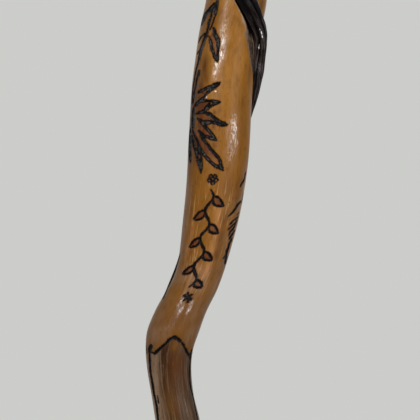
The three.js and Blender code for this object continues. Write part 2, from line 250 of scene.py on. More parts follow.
PANEL_PIXELS = [
    (2.6, PANEL_ARCH_PIXELS[:7]),
    (3.0, PANEL_ARCH_PIXELS[5:10]),
    (1.8, PANEL_ARCH_PIXELS[9:]),
    (3.6, PANEL_LEFT_PIXELS[:3]),
    (2.8, [(161.4, 347.4), (163.6, 345.4)]),
    (3.0, [(155.4, 352.6), (156.6, 351.6)]),
    (2.0, PANEL_LEFT_PIXELS[2:]),
    (1.8, [(149.8, 350.8), (151.8, 352.6), (154.7, 353.9)]),
    (1.3, PANEL_RIGHT_PIXELS[:3]),
    (1.3, PANEL_RIGHT_PIXELS[2:]),
    (1.2, [(157.2, 395.5), (157.8, 399), (158.2, 403.6)]),
]

# Leaves on the front: weight of the line, then the upper and the lower edge from the stalk to the tip
LEAF_PIXELS = {
    "left_upper": (2.2, [(214.4, 2.8), (209.4, 8.6), (206, 12.6), (203.2, 16.6), (201.9, 20.6), (201.2, 25)],
        [(213.2, 8.4), (210, 11.6), (206.6, 14.8), (204.4, 19), (202.6, 22.6), (201.2, 25)]),
    "hanging": (2.8, [(212.6, 27.4), (214.2, 30.4), (216, 35.4), (218.2, 39.4), (218.9, 43), (218.1, 48),
        (217.5, 54), (217.7, 62)], [(209.4, 38.4), (210.4, 42.6), (211, 47), (212.6, 51.8), (214.6, 56.6),
        (217.7, 62)]),
    "first": (2.8, [(197.4, 93), (199.6, 91.6), (202.4, 90), (205.4, 88.4), (209, 86.5), (213.4, 84.8),
        (220, 82.3)], [(205.2, 94), (208, 91.8), (211, 89.5), (215.2, 87), (220.4, 82.5)]),
    "second": (3.0, [(198, 101.3), (202.4, 100.9), (207.4, 100.9), (212.8, 101.1), (220.4, 102.1)],
        [(195, 113.9), (200, 112.5), (203.8, 110.8), (207.4, 108.4), (211, 105.8), (214.6, 104.2),
        (220.4, 102.1)]),
    "third": (3.0, [(196, 113), (202.4, 111.8), (206.4, 112.8), (210.4, 114.6), (213.6, 117.2), (218, 120.4),
        (227.8, 124.7)], [(202, 121.2), (207.4, 121.8), (212.2, 122.2), (216.6, 123.4), (221, 125),
        (227.8, 124.7)]),
    "fourth": (3.0, [(196.8, 118.2), (200, 121.5), (203.2, 125.4), (206.4, 128.4), (209.4, 131.6),
        (212.6, 135.4), (216.4, 140.2)], [(197.4, 130.8), (200.6, 133.2), (204, 136.6), (207.4, 136.9),
        (211, 138.2), (216.4, 140.2)]),
    "fifth": (3.0, [(198.6, 131.6), (201.4, 137.4), (204.4, 141.2), (207.4, 144.8), (210.4, 149),
        (214, 152.8), (217.8, 157.2), (220.4, 161.6), (223.3, 170.3)], [(196.2, 142.7), (199.8, 149),
        (204.2, 154.9), (208, 159.2), (211.6, 162.8), (215.4, 166), (223.3, 170.3)]),
    "sixth": (2.2, [(192.2, 130), (195.4, 138), (198.2, 146), (200.2, 154), (201.4, 163), (200.7, 173.4)],
        [(191.6, 136), (193.8, 146), (196.2, 156), (198.6, 165), (200.7, 173.4)]),
    "seventh": (1.8, [(190.6, 128), (190.6, 140), (190.6, 150), (190.8, 163)], [(189.9, 132), (189.4, 144),
        (189.9, 154), (190.8, 163)]),
}

STEM_LEAVES = ("left_upper", "hanging")

# Places filled black: weight and points of a fat stroke
BLACK_PIXELS = [
    (2.8, [(193.4, 109), (193, 117), (192.6, 127)]),
    (3.8, [(208.6, 88.6), (212.4, 86.4), (216.4, 84.4)]),
    (3.0, [(209.4, 103.4), (206.6, 106.4), (204, 109.6)]),
    (2.6, [(205.2, 94.4), (203.8, 97), (201, 99.6), (198, 102.4), (194.6, 106)]),
    (3.6, [(203.4, 122), (206, 123.2), (209.6, 122.8)]),
    (3.4, [(216.4, 56), (217.2, 59.6)]),
    (3.8, [(201.6, 134.8), (204.2, 136.8)]),
    (4.2, [(199.6, 160), (200.4, 168)]),
    (2.6, [(197, 147), (198.6, 153)]),
    (3.4, [(219, 165.4), (221.6, 168.4)]),
    (2.8, [(211.4, 7.6), (207.8, 11.6), (204.6, 15.4)]),
    (1.4, [(204.6, 15.4), (203, 19)]),
    (3.4, [(215.6, 3.4), (213.6, 8), (211.4, 12.4)]),
    (3.8, [(213.8, 32), (216.6, 37.6), (218.2, 42), (218, 47)]),
    (4.0, [(207.6, 107.2), (204.6, 109.4)]),
    (3.8, [(206, 113), (210.4, 115.2)]),
    (3.8, [(199.8, 120), (203.4, 124.6), (207, 129)]),
]

# Two small marks: sizes and weights in pixels of the photograph, turns in shares of one petal or arm
FLOWER_PIXEL = (212.8, 179.3)
FLOWER_PETALS = 5
FLOWER_REACH = 3.5
FLOWER_PETAL = 1.7
FLOWER_TURN = 0.25
FLOWER_GAP = 0.3
FLOWER_WEIGHT = 1.5
STAR_PIXEL = (187.8, 297.4)
STAR_ARMS = 6
STAR_REACH = 4.5
STAR_TURN = 0.45
STAR_WEIGHT = 2.4

# Tendril that runs down between the two marks
TENDRIL_TOP_PIXEL = 190
TENDRIL_END_PIXEL = 286
TENDRIL_WAVES = 3.5
TENDRIL_SWING = 1.9 * MM
TENDRIL_TURN = -0.16
TENDRIL_WEIGHT = 2.6
TENDRIL_STALK_REACH = 0.92
TENDRIL_SHRINK = 0.25
TENDRIL_LEAF = 9.0 * MM
TENDRIL_LEAF_WIDTH = 4.2 * MM
TENDRIL_LEAF_FULLNESS = 0.8
TENDRIL_LEAF_TURN = math.radians(52)
TENDRIL_LEAF_BEND = 0.6 * MM
TENDRIL_LEAF_WEIGHT = 2.1

# Where the front's leaves come again behind: turn in degrees and lift
BACK_STEM_TURN = 205
BACK_STEM_LIFT = -4 * MM
BACK_SPRAY_TURN = 238
BACK_SPRAY_LIFT = -66 * MM

LINE_POINTS = 4
LINE_END = 7
LINE_TAPER = 0.35
FAT_TAPER = 0.7
MARK_TAPER = 0.8


def around(middle, reach, turn):
    """The point at a distance from another, in a direction."""
    return middle[0] + reach * math.cos(turn), middle[1] + reach * math.sin(turn)


class Carving:
    """Everything cut into the shaft: lines and filled outlines."""

    def __init__(self):
        self.strokes = []
        self.fills = []

    def line(self, places, weight, taper=LINE_TAPER):
        """A black line through places of angle and height, thinner towards its two ends."""
        places = np.array(places, float)
        steps = np.linspace(0, 1, len(places))
        weights = np.broadcast_to(weight, len(places))
        fine = np.linspace(0, 1, max(LINE_POINTS * len(places), 2 * LINE_POINTS))
        smooth = smooth_table(np.column_stack([steps, places, weights]), fine)
        ends = np.clip(np.minimum(fine, 1 - fine) * LINE_END, 0, 1)
        self.strokes.append((smooth[:, :2], smooth[:, 2] / 2 * (taper + (1 - taper) * np.sqrt(ends))))

    def leaf(self, upper, lower, upper_weight, lower_weight):
        self.line(upper, upper_weight)
        self.line(lower, lower_weight)
        self.fills.append(np.vstack([upper, lower[::-1]]))

    def seen_leaf(self, edges, weight, shift=(0, 0)):
        """A leaf read from the photograph, moved by an angle and a height."""
        (upper, upper_weight), (lower, lower_weight) = (drawn(edge, weight) for edge in edges)
        self.leaf(upper + shift, lower + shift, upper_weight, lower_weight)


def carve_front(carving):
    for weight, points in STEM_PIXELS + EDGE_PIXELS + LEFT_PIXELS + PANEL_PIXELS:
        carving.line(*drawn(points, weight))
    for weight, *edges in LEAF_PIXELS.values():
        carving.seen_leaf(edges, weight)
    for weight, points in BLACK_PIXELS:
        carving.line(*drawn(points, weight), taper=FAT_TAPER)


def carve_marks(carving):
    for petal in range(FLOWER_PETALS):
        turn = 2 * math.pi * (petal + FLOWER_TURN) / FLOWER_PETALS
        middle = around(FLOWER_PIXEL, FLOWER_REACH, turn)
        steps = np.linspace(turn + FLOWER_GAP, turn + 2 * math.pi - FLOWER_GAP, 9)
        loop = from_pixels([around(middle, FLOWER_PETAL, step) for step in steps])
        carving.line(loop, FLOWER_WEIGHT * PIXEL, taper=MARK_TAPER)
        carving.fills.append(loop)
    for arm in range(STAR_ARMS):
        tip = around(STAR_PIXEL, STAR_REACH, 2 * math.pi * (arm + STAR_TURN) / STAR_ARMS)
        carving.line(from_pixels([STAR_PIXEL, tip]), STAR_WEIGHT * PIXEL, taper=MARK_TAPER)


def leaf_outline(stalk, length, width, direction, bend):
    """Two edges of a pointed leaf. The direction is 0 straight down, and grows towards +X."""
    radius = shaft_at(np.array([stalk[1]]))[2][0]
    steps = np.linspace(0, 1, 7)
    edges = []
    for side in (-1, 1):
        across = side * width / 2 * np.sin(math.pi * steps**TENDRIL_LEAF_FULLNESS)
        across = across + bend * np.sin(math.pi * steps)
        along = steps * length
        turn = across * math.cos(direction) + along * math.sin(direction)
        drop = along * math.cos(direction) - across * math.sin(direction)
        edges.append(np.stack([stalk[0] + turn / radius, stalk[1] - drop], axis=1))
    return edges


def carve_tendril(carving):
    """A wavy stalk with a pointed leaf on the outside of each bend."""
    top, end = (PHOTO_TOP_HEIGHT - pixel * PIXEL for pixel in (TENDRIL_TOP_PIXEL, TENDRIL_END_PIXEL))
    steps = np.linspace(0, 1, 36)
    heights = top + (end - top) * steps
    wave = TENDRIL_SWING * np.sin(2 * math.pi * TENDRIL_WAVES * steps)
    places = np.stack([TENDRIL_TURN + wave / shaft_at(heights)[2], heights], axis=1)
    carving.line(places, TENDRIL_WEIGHT * PIXEL)
    for bend in range(int(2 * TENDRIL_WAVES)):
        share = (bend + 0.5) / (2 * TENDRIL_WAVES)
        side = 1 if bend % 2 == 0 else -1
        height = top + (end - top) * share
        reach = side * TENDRIL_SWING * TENDRIL_STALK_REACH
        stalk = (TENDRIL_TURN + reach / shaft_at(np.array([height]))[2][0], height)
        size = 1 - TENDRIL_SHRINK * share
        upper, lower = leaf_outline(
            stalk, TENDRIL_LEAF * size, TENDRIL_LEAF_WIDTH * size,
            side * TENDRIL_LEAF_TURN, -side * TENDRIL_LEAF_BEND)
        carving.leaf(upper, lower, TENDRIL_LEAF_WEIGHT * PIXEL, TENDRIL_LEAF_WEIGHT * PIXEL)


def carve_back(carving):
    """The stem, its leaves and the spray again on the back, clear of the vine."""
    stem_shift = np.array([math.radians(BACK_STEM_TURN), BACK_STEM_LIFT])
    spray_shift = np.array([math.radians(BACK_SPRAY_TURN), BACK_SPRAY_LIFT])
    for weight, points in STEM_PIXELS[:8]:
        carving.line(from_pixels(points) + stem_shift, weight * PIXEL)
    for name, (weight, *edges) in LEAF_PIXELS.items():
        carving.seen_leaf(edges, weight, stem_shift if name in STEM_LEAVES else spray_shift)
    for weight, points in BLACK_PIXELS[:1] + BLACK_PIXELS[3:5]:
        carving.line(from_pixels(points) + spray_shift, weight * PIXEL, taper=FAT_TAPER)


# The dark stain under the knee: the front arch follows the photograph, two more go round the back
BACK_PANEL_START = math.radians(82)
BACK_PANEL_END = math.radians(291)
BACK_PANEL_MIDDLE = (BACK_PANEL_START + BACK_PANEL_END) / 2
PANEL_BASE = from_pixels(PANEL_ARCH_PIXELS[:1])[0, 1]
PANEL_ARCH_RISE = 10 * MM
PANEL_ARCH_FULLNESS = 0.8
PANEL_ARCH_WEIGHT = 2.4
PANEL_LIMIT = 9
PANEL_POINT_DROP = 92 * MM
PANEL_POINT_SWING = 0.1
PANEL_POINT_WAVE = 5
PANEL_POINT_WEIGHT = 1.9


def arch_height(share):
    return PANEL_BASE + PANEL_ARCH_RISE * np.sin(math.pi * share) ** PANEL_ARCH_FULLNESS


def carve_back_panels(carving):
    """Two more arches between the front panel's side lines, round the back."""
    steps = np.linspace(0, 1, 13)
    for left, right in ((BACK_PANEL_START, BACK_PANEL_MIDDLE), (BACK_PANEL_MIDDLE, BACK_PANEL_END)):
        places = np.stack([left + (right - left) * steps, arch_height(steps)], axis=1)
        carving.line(places, PANEL_ARCH_WEIGHT * PIXEL, taper=MARK_TAPER)
    drop = np.linspace(0, 1, 9)
    turns = BACK_PANEL_MIDDLE + PANEL_POINT_SWING * np.sin(PANEL_POINT_WAVE * drop)
    places = np.stack([turns, PANEL_BASE - PANEL_POINT_DROP * drop], axis=1)
    carving.line(places, PANEL_POINT_WEIGHT * PIXEL)


carving = Carving()
for carve in (carve_front, carve_marks, carve_tendril, carve_back, carve_back_panels):
    carve(carving)


def wrapped(angles):
    return (angles + math.pi) % (2 * math.pi) - math.pi


def near_shape(angles, heights, places, radius, margin):
    """Which places lie near a line or outline, with their turn and the shape's own from its middle."""
    centre = places[:, 0].mean()
    (left, low), (right, high) = places.min(axis=0), places.max(axis=0)
    turn = wrapped(angles - centre)
    near = turn * radius > (left - centre) * radius - margin
    near &= turn * radius < (right - centre) * radius + margin
    chosen = np.flatnonzero(near & (heights > low - margin) & (heights < high + margin))
    return chosen, turn[chosen][:, None], heights[chosen][:, None], places[:, 0] - centre


def stroke_field(angles, heights, strokes):
    """Signed distance to the nearest line (negative inside it) and how deep the lines cut, in metres."""
    radius = shaft_at(heights)[2]
    reach = np.full(len(angles), INK_LIMIT)
    depth = np.zeros(len(angles))
    for places, half in strokes:
        chosen, turn, z, across = near_shape(angles, heights, places, radius, INK_LIMIT + half.max())
        if not len(chosen):
            continue
        scale = radius[chosen][:, None]
        x = turn * scale
        ax, az = across[:-1][None] * scale, places[:-1, 1][None]
        dx, dz = across[1:][None] * scale - ax, places[1:, 1][None] - az
        t = np.clip(((x - ax) * dx + (z - az) * dz) / np.maximum(dx * dx + dz * dz, 1e-12), 0, 1)
        width = half[:-1][None] * (1 - t) + half[1:][None] * t
        signed = np.hypot(x - ax - t * dx, z - az - t * dz) - width
        best = (np.arange(len(chosen)), signed.argmin(axis=1))
        nearest, widest = signed[best], width[best]
        reach[chosen] = np.minimum(reach[chosen], nearest)
        inside = np.clip(-nearest / widest, 0, 1)
        cut = np.sqrt(inside * (2 - inside)) * np.minimum(widest / FULL_CUT_WIDTH, 1)
        depth[chosen] = np.maximum(depth[chosen], cut)
    return reach, depth


def fill_field(angles, heights, fills):
    """1 inside the filled outlines and 0 elsewhere."""
    radius = shaft_at(heights)[2]
    amount = np.zeros(len(angles))
    for outline in fills:
        chosen, x, z, across = near_shape(angles, heights, outline, radius, 0)
        ax, az = across[None], outline[:, 1][None]
        bx, bz = np.roll(ax, -1), np.roll(az, -1)
        crosses = (az > z) != (bz > z)
        place = ax + (z - az) * (bx - ax) / np.where(bz == az, 1e-9, bz - az)
        inside = (np.sum(crosses & (x < place), axis=1) % 2) == 1
        amount[chosen[inside]] = 1
    return amount


# The vine's run, its groove, and the pared flank on the groove's front side

# Share of the vine's run and the width of the flank there, in millimetres
FLANK_WIDTHS = np.array([
    (0.00, 0.4), (0.20, 0.6), (0.222, 1.2), (0.25, 2.6), (0.262, 4.8), (0.289, 7.0), (0.314, 7.8),
    (0.34, 7.4), (0.358, 6.2), (0.38, 3.6), (0.41, 1.2), (0.45, 0.8), (1.00, 0.3),
])
FLANK_DEPTH = 0.6 * MM
FLANK_HOLLOW = 1.4
GROOVE_STEPS = 400
GROOVE_BLOCK = 4000
GROOVE_END = 1.2 * MM
GROOVE_MARGINS = (2 * MM, 8 * MM)
VINE_ROWS = 520
VINE_SIDES = 104

# Marks on the vine: middle and reach along its run, middle and reach round it, and strength
VINE_MARKS = {
    "lit": [
        (0.266, 0.003, 0.86, 0.05, 0.6), (0.274, 0.0035, 0.8, 0.06, 1.0), (0.283, 0.004, 0.86, 0.05, 0.8),
        (0.305, 0.003, 1.42, 0.05, 0.6), (0.3115, 0.0035, 1.48, 0.07, 1.0), (0.345, 0.004, 1.6, 0.04, 0.4),
    ],
    # Painted shade down the vine's side where it lies in the groove
    "groove_shade": [(0.2, 0.095, 1.12, 0.5, 0.9)],
    "gloss": [
        (0.276, 0.006, 0.87, 0.09, 0.5), (0.288, 0.007, 0.85, 0.1, 0.7), (0.26, 0.03, 0.9, 0.2, 0.15),
        (0.24, 0.01, 1.14, 0.15, 0.3), (0.38, 0.03, 1.3, 0.12, 0.2),
    ],
}

# Turn from the vine's outermost line within which its ridges are full, and how they fade in the groove
VINE_FREE_TURN = 1.2
VINE_FREE_FADE = 0.6
VINE_BURIED_LOSS = 0.9

# The vine's own shape: skin under its packed radius, height of its ridges, fibres and knots
VINE_SKIN = 0.1 * MM
VINE_RIDGE_SWELL = 1.9 * VINE_RIDGE_DEPTH
VINE_FIBRE_SWELL = 0.09 * MM
VINE_KNOT_SWELL = 0.16 * MM


def vine_path(shares):
    """Middle, outward direction and radius of the vine at shares of its run."""
    turn, size = smooth_table(VINE_STATION_SHARES, shares).T
    heights = VINE_TOP - shares * VINE_RUN
    angle = np.radians(VINE_START_TURN + turn * VINE_TURN)
    outward = np.stack([np.sin(angle), -np.cos(angle), np.zeros_like(angle)], axis=1)
    side, depth, radius = shaft_at(heights)
    middle = np.stack([side, depth, heights], axis=1)
    return middle + outward * (radius + VINE_STAND_OFF * size)[:, None], outward, size * VINE_RADIUS


def unit(vectors):
    return vectors / np.linalg.norm(vectors, axis=1)[:, None]


def groove_field(angles, heights):
    """Depth of the vine's groove at each place, the signed distance to its edge, and the flank beside it."""
    depth, flank = np.zeros(len(angles)), np.zeros(len(angles))
    edge = np.full(len(angles), INK_LIMIT)
    middle, _, size = vine_path(np.linspace(0, 1, GROOVE_STEPS))
    along = unit(np.gradient(middle, axis=0))
    below, above = GROOVE_MARGINS
    near = np.flatnonzero((heights > middle[-1, 2] - below) & (heights < middle[0, 2] + above))
    angle = angles[near]
    place = on_shaft(angle, heights[near])
    inward = np.stack([-np.sin(angle), np.cos(angle), np.zeros(len(near))], axis=1)
    nearest = np.empty(len(near), int)
    for start in range(0, len(near), GROOVE_BLOCK):
        block = slice(start, start + GROOVE_BLOCK)
        nearest[block] = ((place[block, None, :] - middle[None]) ** 2).sum(axis=2).argmin(axis=1)
    axis = along[nearest]
    offset = place - middle[nearest]
    beyond = (offset * axis).sum(axis=1)
    offset = offset - beyond[:, None] * axis
    across = inward - (inward * axis).sum(axis=1)[:, None] * axis
    bore = size[nearest] + SEAT_GAP
    a = (across**2).sum(axis=1)
    b = (offset * across).sum(axis=1)
    c = (offset**2).sum(axis=1) - bore**2
    cut = np.where(c < 0, (-b + np.sqrt(np.maximum(b * b - a * c, 0))) / a, 0)
    past_end = np.abs(beyond) > GROOVE_END
    depth[near] = np.where(past_end, 0, np.maximum(cut, 0))
    clear = np.hypot(np.sqrt((offset**2).sum(axis=1)), beyond * past_end) - bore
    edge[near] = np.clip(clear, -INK_LIMIT, INK_LIMIT)
    width = np.interp(nearest / (len(size) - 1), FLANK_WIDTHS[:, 0], FLANK_WIDTHS[:, 1] * MM)
    in_front = (offset[:, 0] * np.cos(angle) + offset[:, 1] * np.sin(angle)) < 0
    flank[near] = np.where(in_front & ~past_end, np.clip(1 - clear / width, 0, 1), 0)
    return depth, edge, flank


# Pieces

SHARP_ANGLE = 35
ROUND_SIDES = 96
THIN_SIDES = 24
NO_RADIUS = 1e-6


def finished(mesh, body, nodes, material, sharp=SHARP_ANGLE):
    """Makes the piece of a mesh, smooth but for its sharp edges, on its body and in place of its nodes."""
    mesh.shade_smooth()
    mesh.set_sharp_from_angle(angle=math.radians(sharp))
    piece = bpy.data.objects.new(mesh.name, mesh)
    bpy.context.scene.collection.objects.link(piece)
    piece.data.materials.append(material)
    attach(piece, body)
    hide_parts(*nodes)
    return piece


def add_attribute(mesh, name, values, kind="FLOAT"):
    layer = mesh.attributes.new(name, kind, "POINT")
    layer.data.foreach_set("value" if kind == "FLOAT" else "vector", np.asarray(values, np.float32).ravel())


def made_mesh(name, bm):
    bmesh.ops.recalc_face_normals(bm, faces=bm.faces)
    mesh = bpy.data.meshes.new(name)
    bm.to_mesh(mesh)
    bm.free()
    return mesh


def join_rings(bm, low, high):
    """Faces between two rings of corners, either of which may be a single corner."""
    for side in range(max(len(low), len(high))):
        corners = (low[side % len(low)], low[(side + 1) % len(low)],
                   high[(side + 1) % len(high)], high[side % len(high)])
        corners = list(dict.fromkeys(corners))
        if len(corners) > 2:
            bm.faces.new(corners)


def lofted(name, rings, closed=False):
    """A mesh of rings of points, each joined to the next, and closed into a loop or filled at both ends."""
    bm = bmesh.new()
    rings = [[bm.verts.new(point) for point in ring] for ring in rings]
    for low, high in zip(rings, rings[1:] + rings[:1] if closed else rings[1:]):
        join_rings(bm, low, high)
    for end in () if closed else (rings[0][::-1], rings[-1]):
        if len(end) > 1:
            bm.faces.new(end)
    return made_mesh(name, bm)


def round_ring(middle, radius, sides):
    """Points round a middle, or the middle alone where there is no radius."""
    count = sides if radius > NO_RADIUS else 1
    return [around(middle, radius, 2 * math.pi * side / sides) for side in range(count)]


def turned(name, outline, origin, body, node, material, sharp=SHARP_ANGLE):
    """A piece turned about an upright axis from pairs of radius and height that close on themselves."""
    rings = [[(x, y, height) for x, y in round_ring(origin, radius, ROUND_SIDES)]
             for radius, height in outline]
    mesh = lofted(name, rings, closed=len(rings[0]) > 1)
    return finished(mesh, body, [node], material, sharp)


def arc(centre, radius, start, end, count):
    """Points of an arc in an outline, its angles in degrees from the outward direction."""
    return [around(centre, radius, math.radians(angle)) for angle in np.linspace(start, end, count)]


def axis_of(box):
    """The place of a box's upright middle line."""
    low, high = box
    return (low.x + high.x) / 2, (low.y + high.y) / 2


# Shaft

SHAFT_COLUMNS = 64
SHAFT_TURNS = np.arange(SHAFT_COLUMNS) * 2 * math.pi / SHAFT_COLUMNS
CARVED_ROW = 2.1 * MM
PLAIN_ROW = 3.6 * MM
CARVED_LOW = 500 * MM
SPLIT_MARGINS = (2.2 * MM, 1.1 * MM)
SHAFT_SHARP_ANGLE = 50
SEAM_SLACK = 1e-4

# Waves that a knife leaves: height in millimetres, waves round the shaft, radians to a metre, and start
SHAVING_WAVES = [
    (0.11, 3, 31, 0), (0.11, 5, -47, 1.3), (0.07, 2, 160, 0.7), (0.07, 7, 95, 2.1),
]

# Soft patches of each kind: middle x, middle y, reach x and reach y in pixels of the photograph, and strength
PATCHES = {
    # Soft dark patches: partly burnt stain round the leaves, partly painted shade beside the vine, down the
    # right side and over the knee
    "shade": [
        (163.4, 305, 2.4, 7, 0.4), (160.4, 316, 2.4, 7, 0.4), (157.4, 328, 2.6, 8, 0.35),
        (154, 343, 3, 4, 0.45), (169, 358, 5, 10, 0.35), (179, 320, 8, 12, 0.45), (172, 392, 8, 34, 0.25),
        (204.6, 66, 3.6, 15, 1.0), (213.8, 126.5, 1.8, 3.6, 0.8), (213.8, 146, 2, 6, 0.7),
        (214.6, 112.6, 1.8, 2.4, 0.8), (206.4, 77, 3, 9, 0.75), (204, 206, 7, 12, 0.25),
        (230, 188, 6, 12, 0.35), (228.8, 84, 1.2, 1.6, 0.3), (236.4, 16.6, 1.2, 2.2, 0.5),
        (239.4, 22.5, 1.6, 1.6, 0.8), (240.6, 24.6, 1.2, 1.0, 0.6), (229.6, 87.3, 1.8, 1.2, 0.35),
        (212.2, 81.6, 1.6, 0.9, 0.45), (203.5, 72, 4.5, 22, 0.75), (201, 87, 3.5, 9, 0.9),
        (207, 62, 3, 10, 0.4), (198, 104, 5, 20, 0.9), (201, 132, 7, 16, 0.5), (224.5, 221, 3, 12, 0.6),
        (220.5, 238, 3, 12, 0.75), (216.5, 254, 3, 12, 0.7), (212, 270, 3, 12, 0.5), (238, 190, 4, 20, 0.45),
        (176, 366, 9, 20, 0.8), (190, 214, 4, 14, 0.5), (162, 318, 7, 14, 0.3), (188.5, 190, 5, 50, 0.5),
        (181, 250, 6, 34, 0.45), (200, 22, 5, 14, 0.5), (192.4, 112, 4.5, 40, 0.75),
        (195.5, 148, 5, 20, 0.75), (205, 8, 6, 14, 0.4), (243, 118, 5, 44, 0.3), (193, 132, 3, 28, 0.6),
        (182, 312, 16, 9, 0.2), (261.5, 4, 4, 12, 0.75), (238.6, 21, 2.6, 4.5, 0.5), (250, 72, 2.6, 16, 0.6),
        (206, 36, 5, 12, 0.4),
    ],
    # Painted sheen: soft pinkish bands where a lamp's reflection runs down the shaft, and two narrow pale
    # streaks
    "pale": [
        (218.5, 214, 3.2, 12, 0.5), (215, 232, 3.2, 14, 0.55), (210.5, 252, 3.2, 14, 0.6),
        (207.6, 269, 3.4, 10, 0.7), (199, 272, 4, 9, 0.4), (191, 236, 1.6, 22, 0.35),
        (187.5, 250, 1.2, 16, 0.4),
    ],
    # Golden wood under the thickest varnish
    "gold": [
        (174.8, 346, 4.2, 7, 0.6), (178, 324, 8, 12, 0.35), (173, 304, 4, 14, 0.3), (171, 404, 6, 14, 0.18),
        (173, 385, 3, 12, 0.1),
    ],
    # Wood darkened by the burning round the leaf stalks
    "scorch": [
        (191.4, 104, 4.0, 18, 0.95), (190.6, 126, 3.6, 20, 0.95), (190.2, 150, 3.2, 16, 0.8),
        (198, 150, 3.6, 15, 0.6), (207, 146, 3, 5, 0.5), (194, 86, 4.0, 14, 0.9), (196.5, 68, 3, 12, 0.55),
        (207, 14, 4, 8, 0.35), (203, 36, 3, 10, 0.3),
    ],
    # Beads of varnish in and beside the cuts
    "bead": [
        (215.4, 91.3, 1.1, 1.1, 1.0), (206.5, 97.4, 0.7, 1.1, 1.0), (207.4, 99.2, 0.6, 0.7, 0.5),
        (207.5, 89.4, 0.7, 1.0, 0.5), (219, 84.6, 1.0, 0.6, 0.35), (201.5, 150, 0.7, 1.0, 0.8),
        (204.5, 154, 0.8, 1.2, 0.8), (208.8, 116.4, 1.2, 0.5, 0.5), (215.3, 44.5, 0.6, 2.4, 0.35),
        (215.6, 50.6, 0.6, 1.0, 0.5),
    ],
    # Greyer along the two edges: partly the wood's own grey, partly painted sheen where the shaft turns away
    "grey": [
        (206, 8, 3.5, 18, 0.5), (194, 96, 3.5, 34, 0.65), (192, 140, 3, 22, 0.6), (188, 198, 2.6, 18, 0.7),
        (184.6, 226, 2.8, 16, 0.75), (180.6, 250, 3, 14, 0.75), (172, 276, 4, 12, 0.7),
        (160, 302, 4, 12, 0.6), (159, 316, 5, 12, 0.6), (154, 334, 8, 13, 0.75), (165, 336, 6, 8, 0.45),
        (199, 46, 3.5, 22, 0.6), (232, 212, 5, 18, 0.4), (227, 240, 5, 18, 0.5), (221, 266, 5, 12, 0.45),
        (196, 312, 4, 14, 0.6), (191, 334, 5, 12, 0.7), (203, 288, 4, 9, 0.4), (244, 178, 2.4, 16, 0.5),
        (238.6, 206, 3, 14, 0.6), (232.6, 232, 4, 14, 0.65), (226, 258, 4, 12, 0.7), (215, 284, 4, 14, 0.65),
        (206, 306, 3, 13, 0.65), (198.4, 330, 3.6, 12, 0.65), (152, 324, 3, 20, 0.4),
        (251, 110, 1.8, 24, 0.4),
    ],
    # Where the varnish lies thick and even enough to shine
    "gloss": [
        (226.6, 8, 2.4, 16, 0.12), (224, 28, 3, 10, 0.25), (223.4, 41, 3.4, 8, 0.6), (222.2, 50, 3, 6, 0.8),
        (220.6, 58, 3, 5, 1.0), (217.6, 66, 3, 5, 1.0), (214.4, 73, 2.4, 4, 0.6), (216, 80, 5, 6, 0.12),
        (234.2, 132, 5.6, 16, 0.22), (236.2, 127, 1.8, 3.6, 0.6), (236, 142, 1.5, 3, 0.45),
        (235, 117, 1.6, 3, 0.3), (231, 152, 4.5, 8, 0.12), (181.2, 301, 2.2, 6, 0.45),
        (181.2, 309.5, 1.3, 3.8, 1.0), (191, 303, 1.2, 3.2, 0.5), (189.2, 309.5, 1.1, 3.2, 1.0),
        (197, 285, 4, 5, 0.18), (168, 412.6, 2.2, 0.8, 0.6),
    ],
}

# What the shaft's two hidden ends carry, where it isn't 0
END_VALUES = {"ink": INK_LIMIT / MM, "seam": INK_LIMIT / MM, "panel": 1}


def carved_reach(angles, heights):
    reach, _ = stroke_field(angles, heights, carving.strokes)
    _, groove, _ = groove_field(angles, heights)
    return np.minimum(reach, np.abs(groove + SEAT_GAP))


def shaft_skin():
    """A grid round a unit cylinder, split twice near all that is carved."""
    grid = bmesh.new()
    plain = np.arange(FERRULE_SHOULDER, CARVED_LOW, PLAIN_ROW)
    fine = np.linspace(CARVED_LOW, SHOULDER, round((SHOULDER - CARVED_LOW) / CARVED_ROW) + 1)
    rows = [[grid.verts.new((math.sin(turn), -math.cos(turn), height)) for turn in SHAFT_TURNS]
            for height in np.concatenate([plain, fine])]
    for low, high in zip(rows, rows[1:]):
        join_rings(grid, low, high)
    for margin in SPLIT_MARGINS:
        near = carved_reach(*skin_places(grid)) < margin
        edges = {edge for face in grid.faces if any(near[v.index] for v in face.verts) for edge in face.edges}
        bmesh.ops.subdivide_edges(grid, edges=list(edges), cuts=1, use_grid_fill=True)
    return grid


def skin_places(grid):
    grid.verts.index_update()
    places = np.array([vertex.co for vertex in grid.verts])
    return np.arctan2(places[:, 0], -places[:, 1]), places[:, 2]


def hand_shaving(angles, heights):
    """The slight unevenness that a knife leaves along a stick."""
    return sum(size * MM * np.sin(turns * angles + run * heights + start)
               for size, turns, run, start in SHAVING_WAVES)


def open_ring(grid, height):
    """The corners of the skin's open end at a height, in order round it from the front."""
    ring = {v for edge in grid.edges if edge.is_boundary for v in edge.verts if abs(v.co.z - height) < MM}
    full = 2 * math.pi - SEAM_SLACK
    return sorted(ring, key=lambda vertex: math.atan2(vertex.co.x, -vertex.co.y) % full)


def close_end(grid, ring, x, y, steps):
    """Level rings of the given radii and heights, each joined to the last, and a face over the end."""
    for radius, height in steps:
        made = [grid.verts.new((x + radius * math.sin(turn), y - radius * math.cos(turn), height))
                for turn in SHAFT_TURNS]
        join_rings(grid, ring, made)
        ring = made
    grid.faces.new(ring)


def patch_field(angles, heights, patches):
    amount = np.zeros(len(angles))
    for x, y, reach_x, reach_y, strength in patches:
        turn, height = from_pixels([(x, y)])[0]
        radius = shaft_at(np.array([height]))[2][0]
        across = wrapped(angles - turn) * radius * math.cos(turn) / (reach_x * PIXEL)
        up = (heights - height) / (reach_y * PIXEL)
        amount = np.maximum(amount, strength * np.exp(-(across**2) - up**2))
    return amount


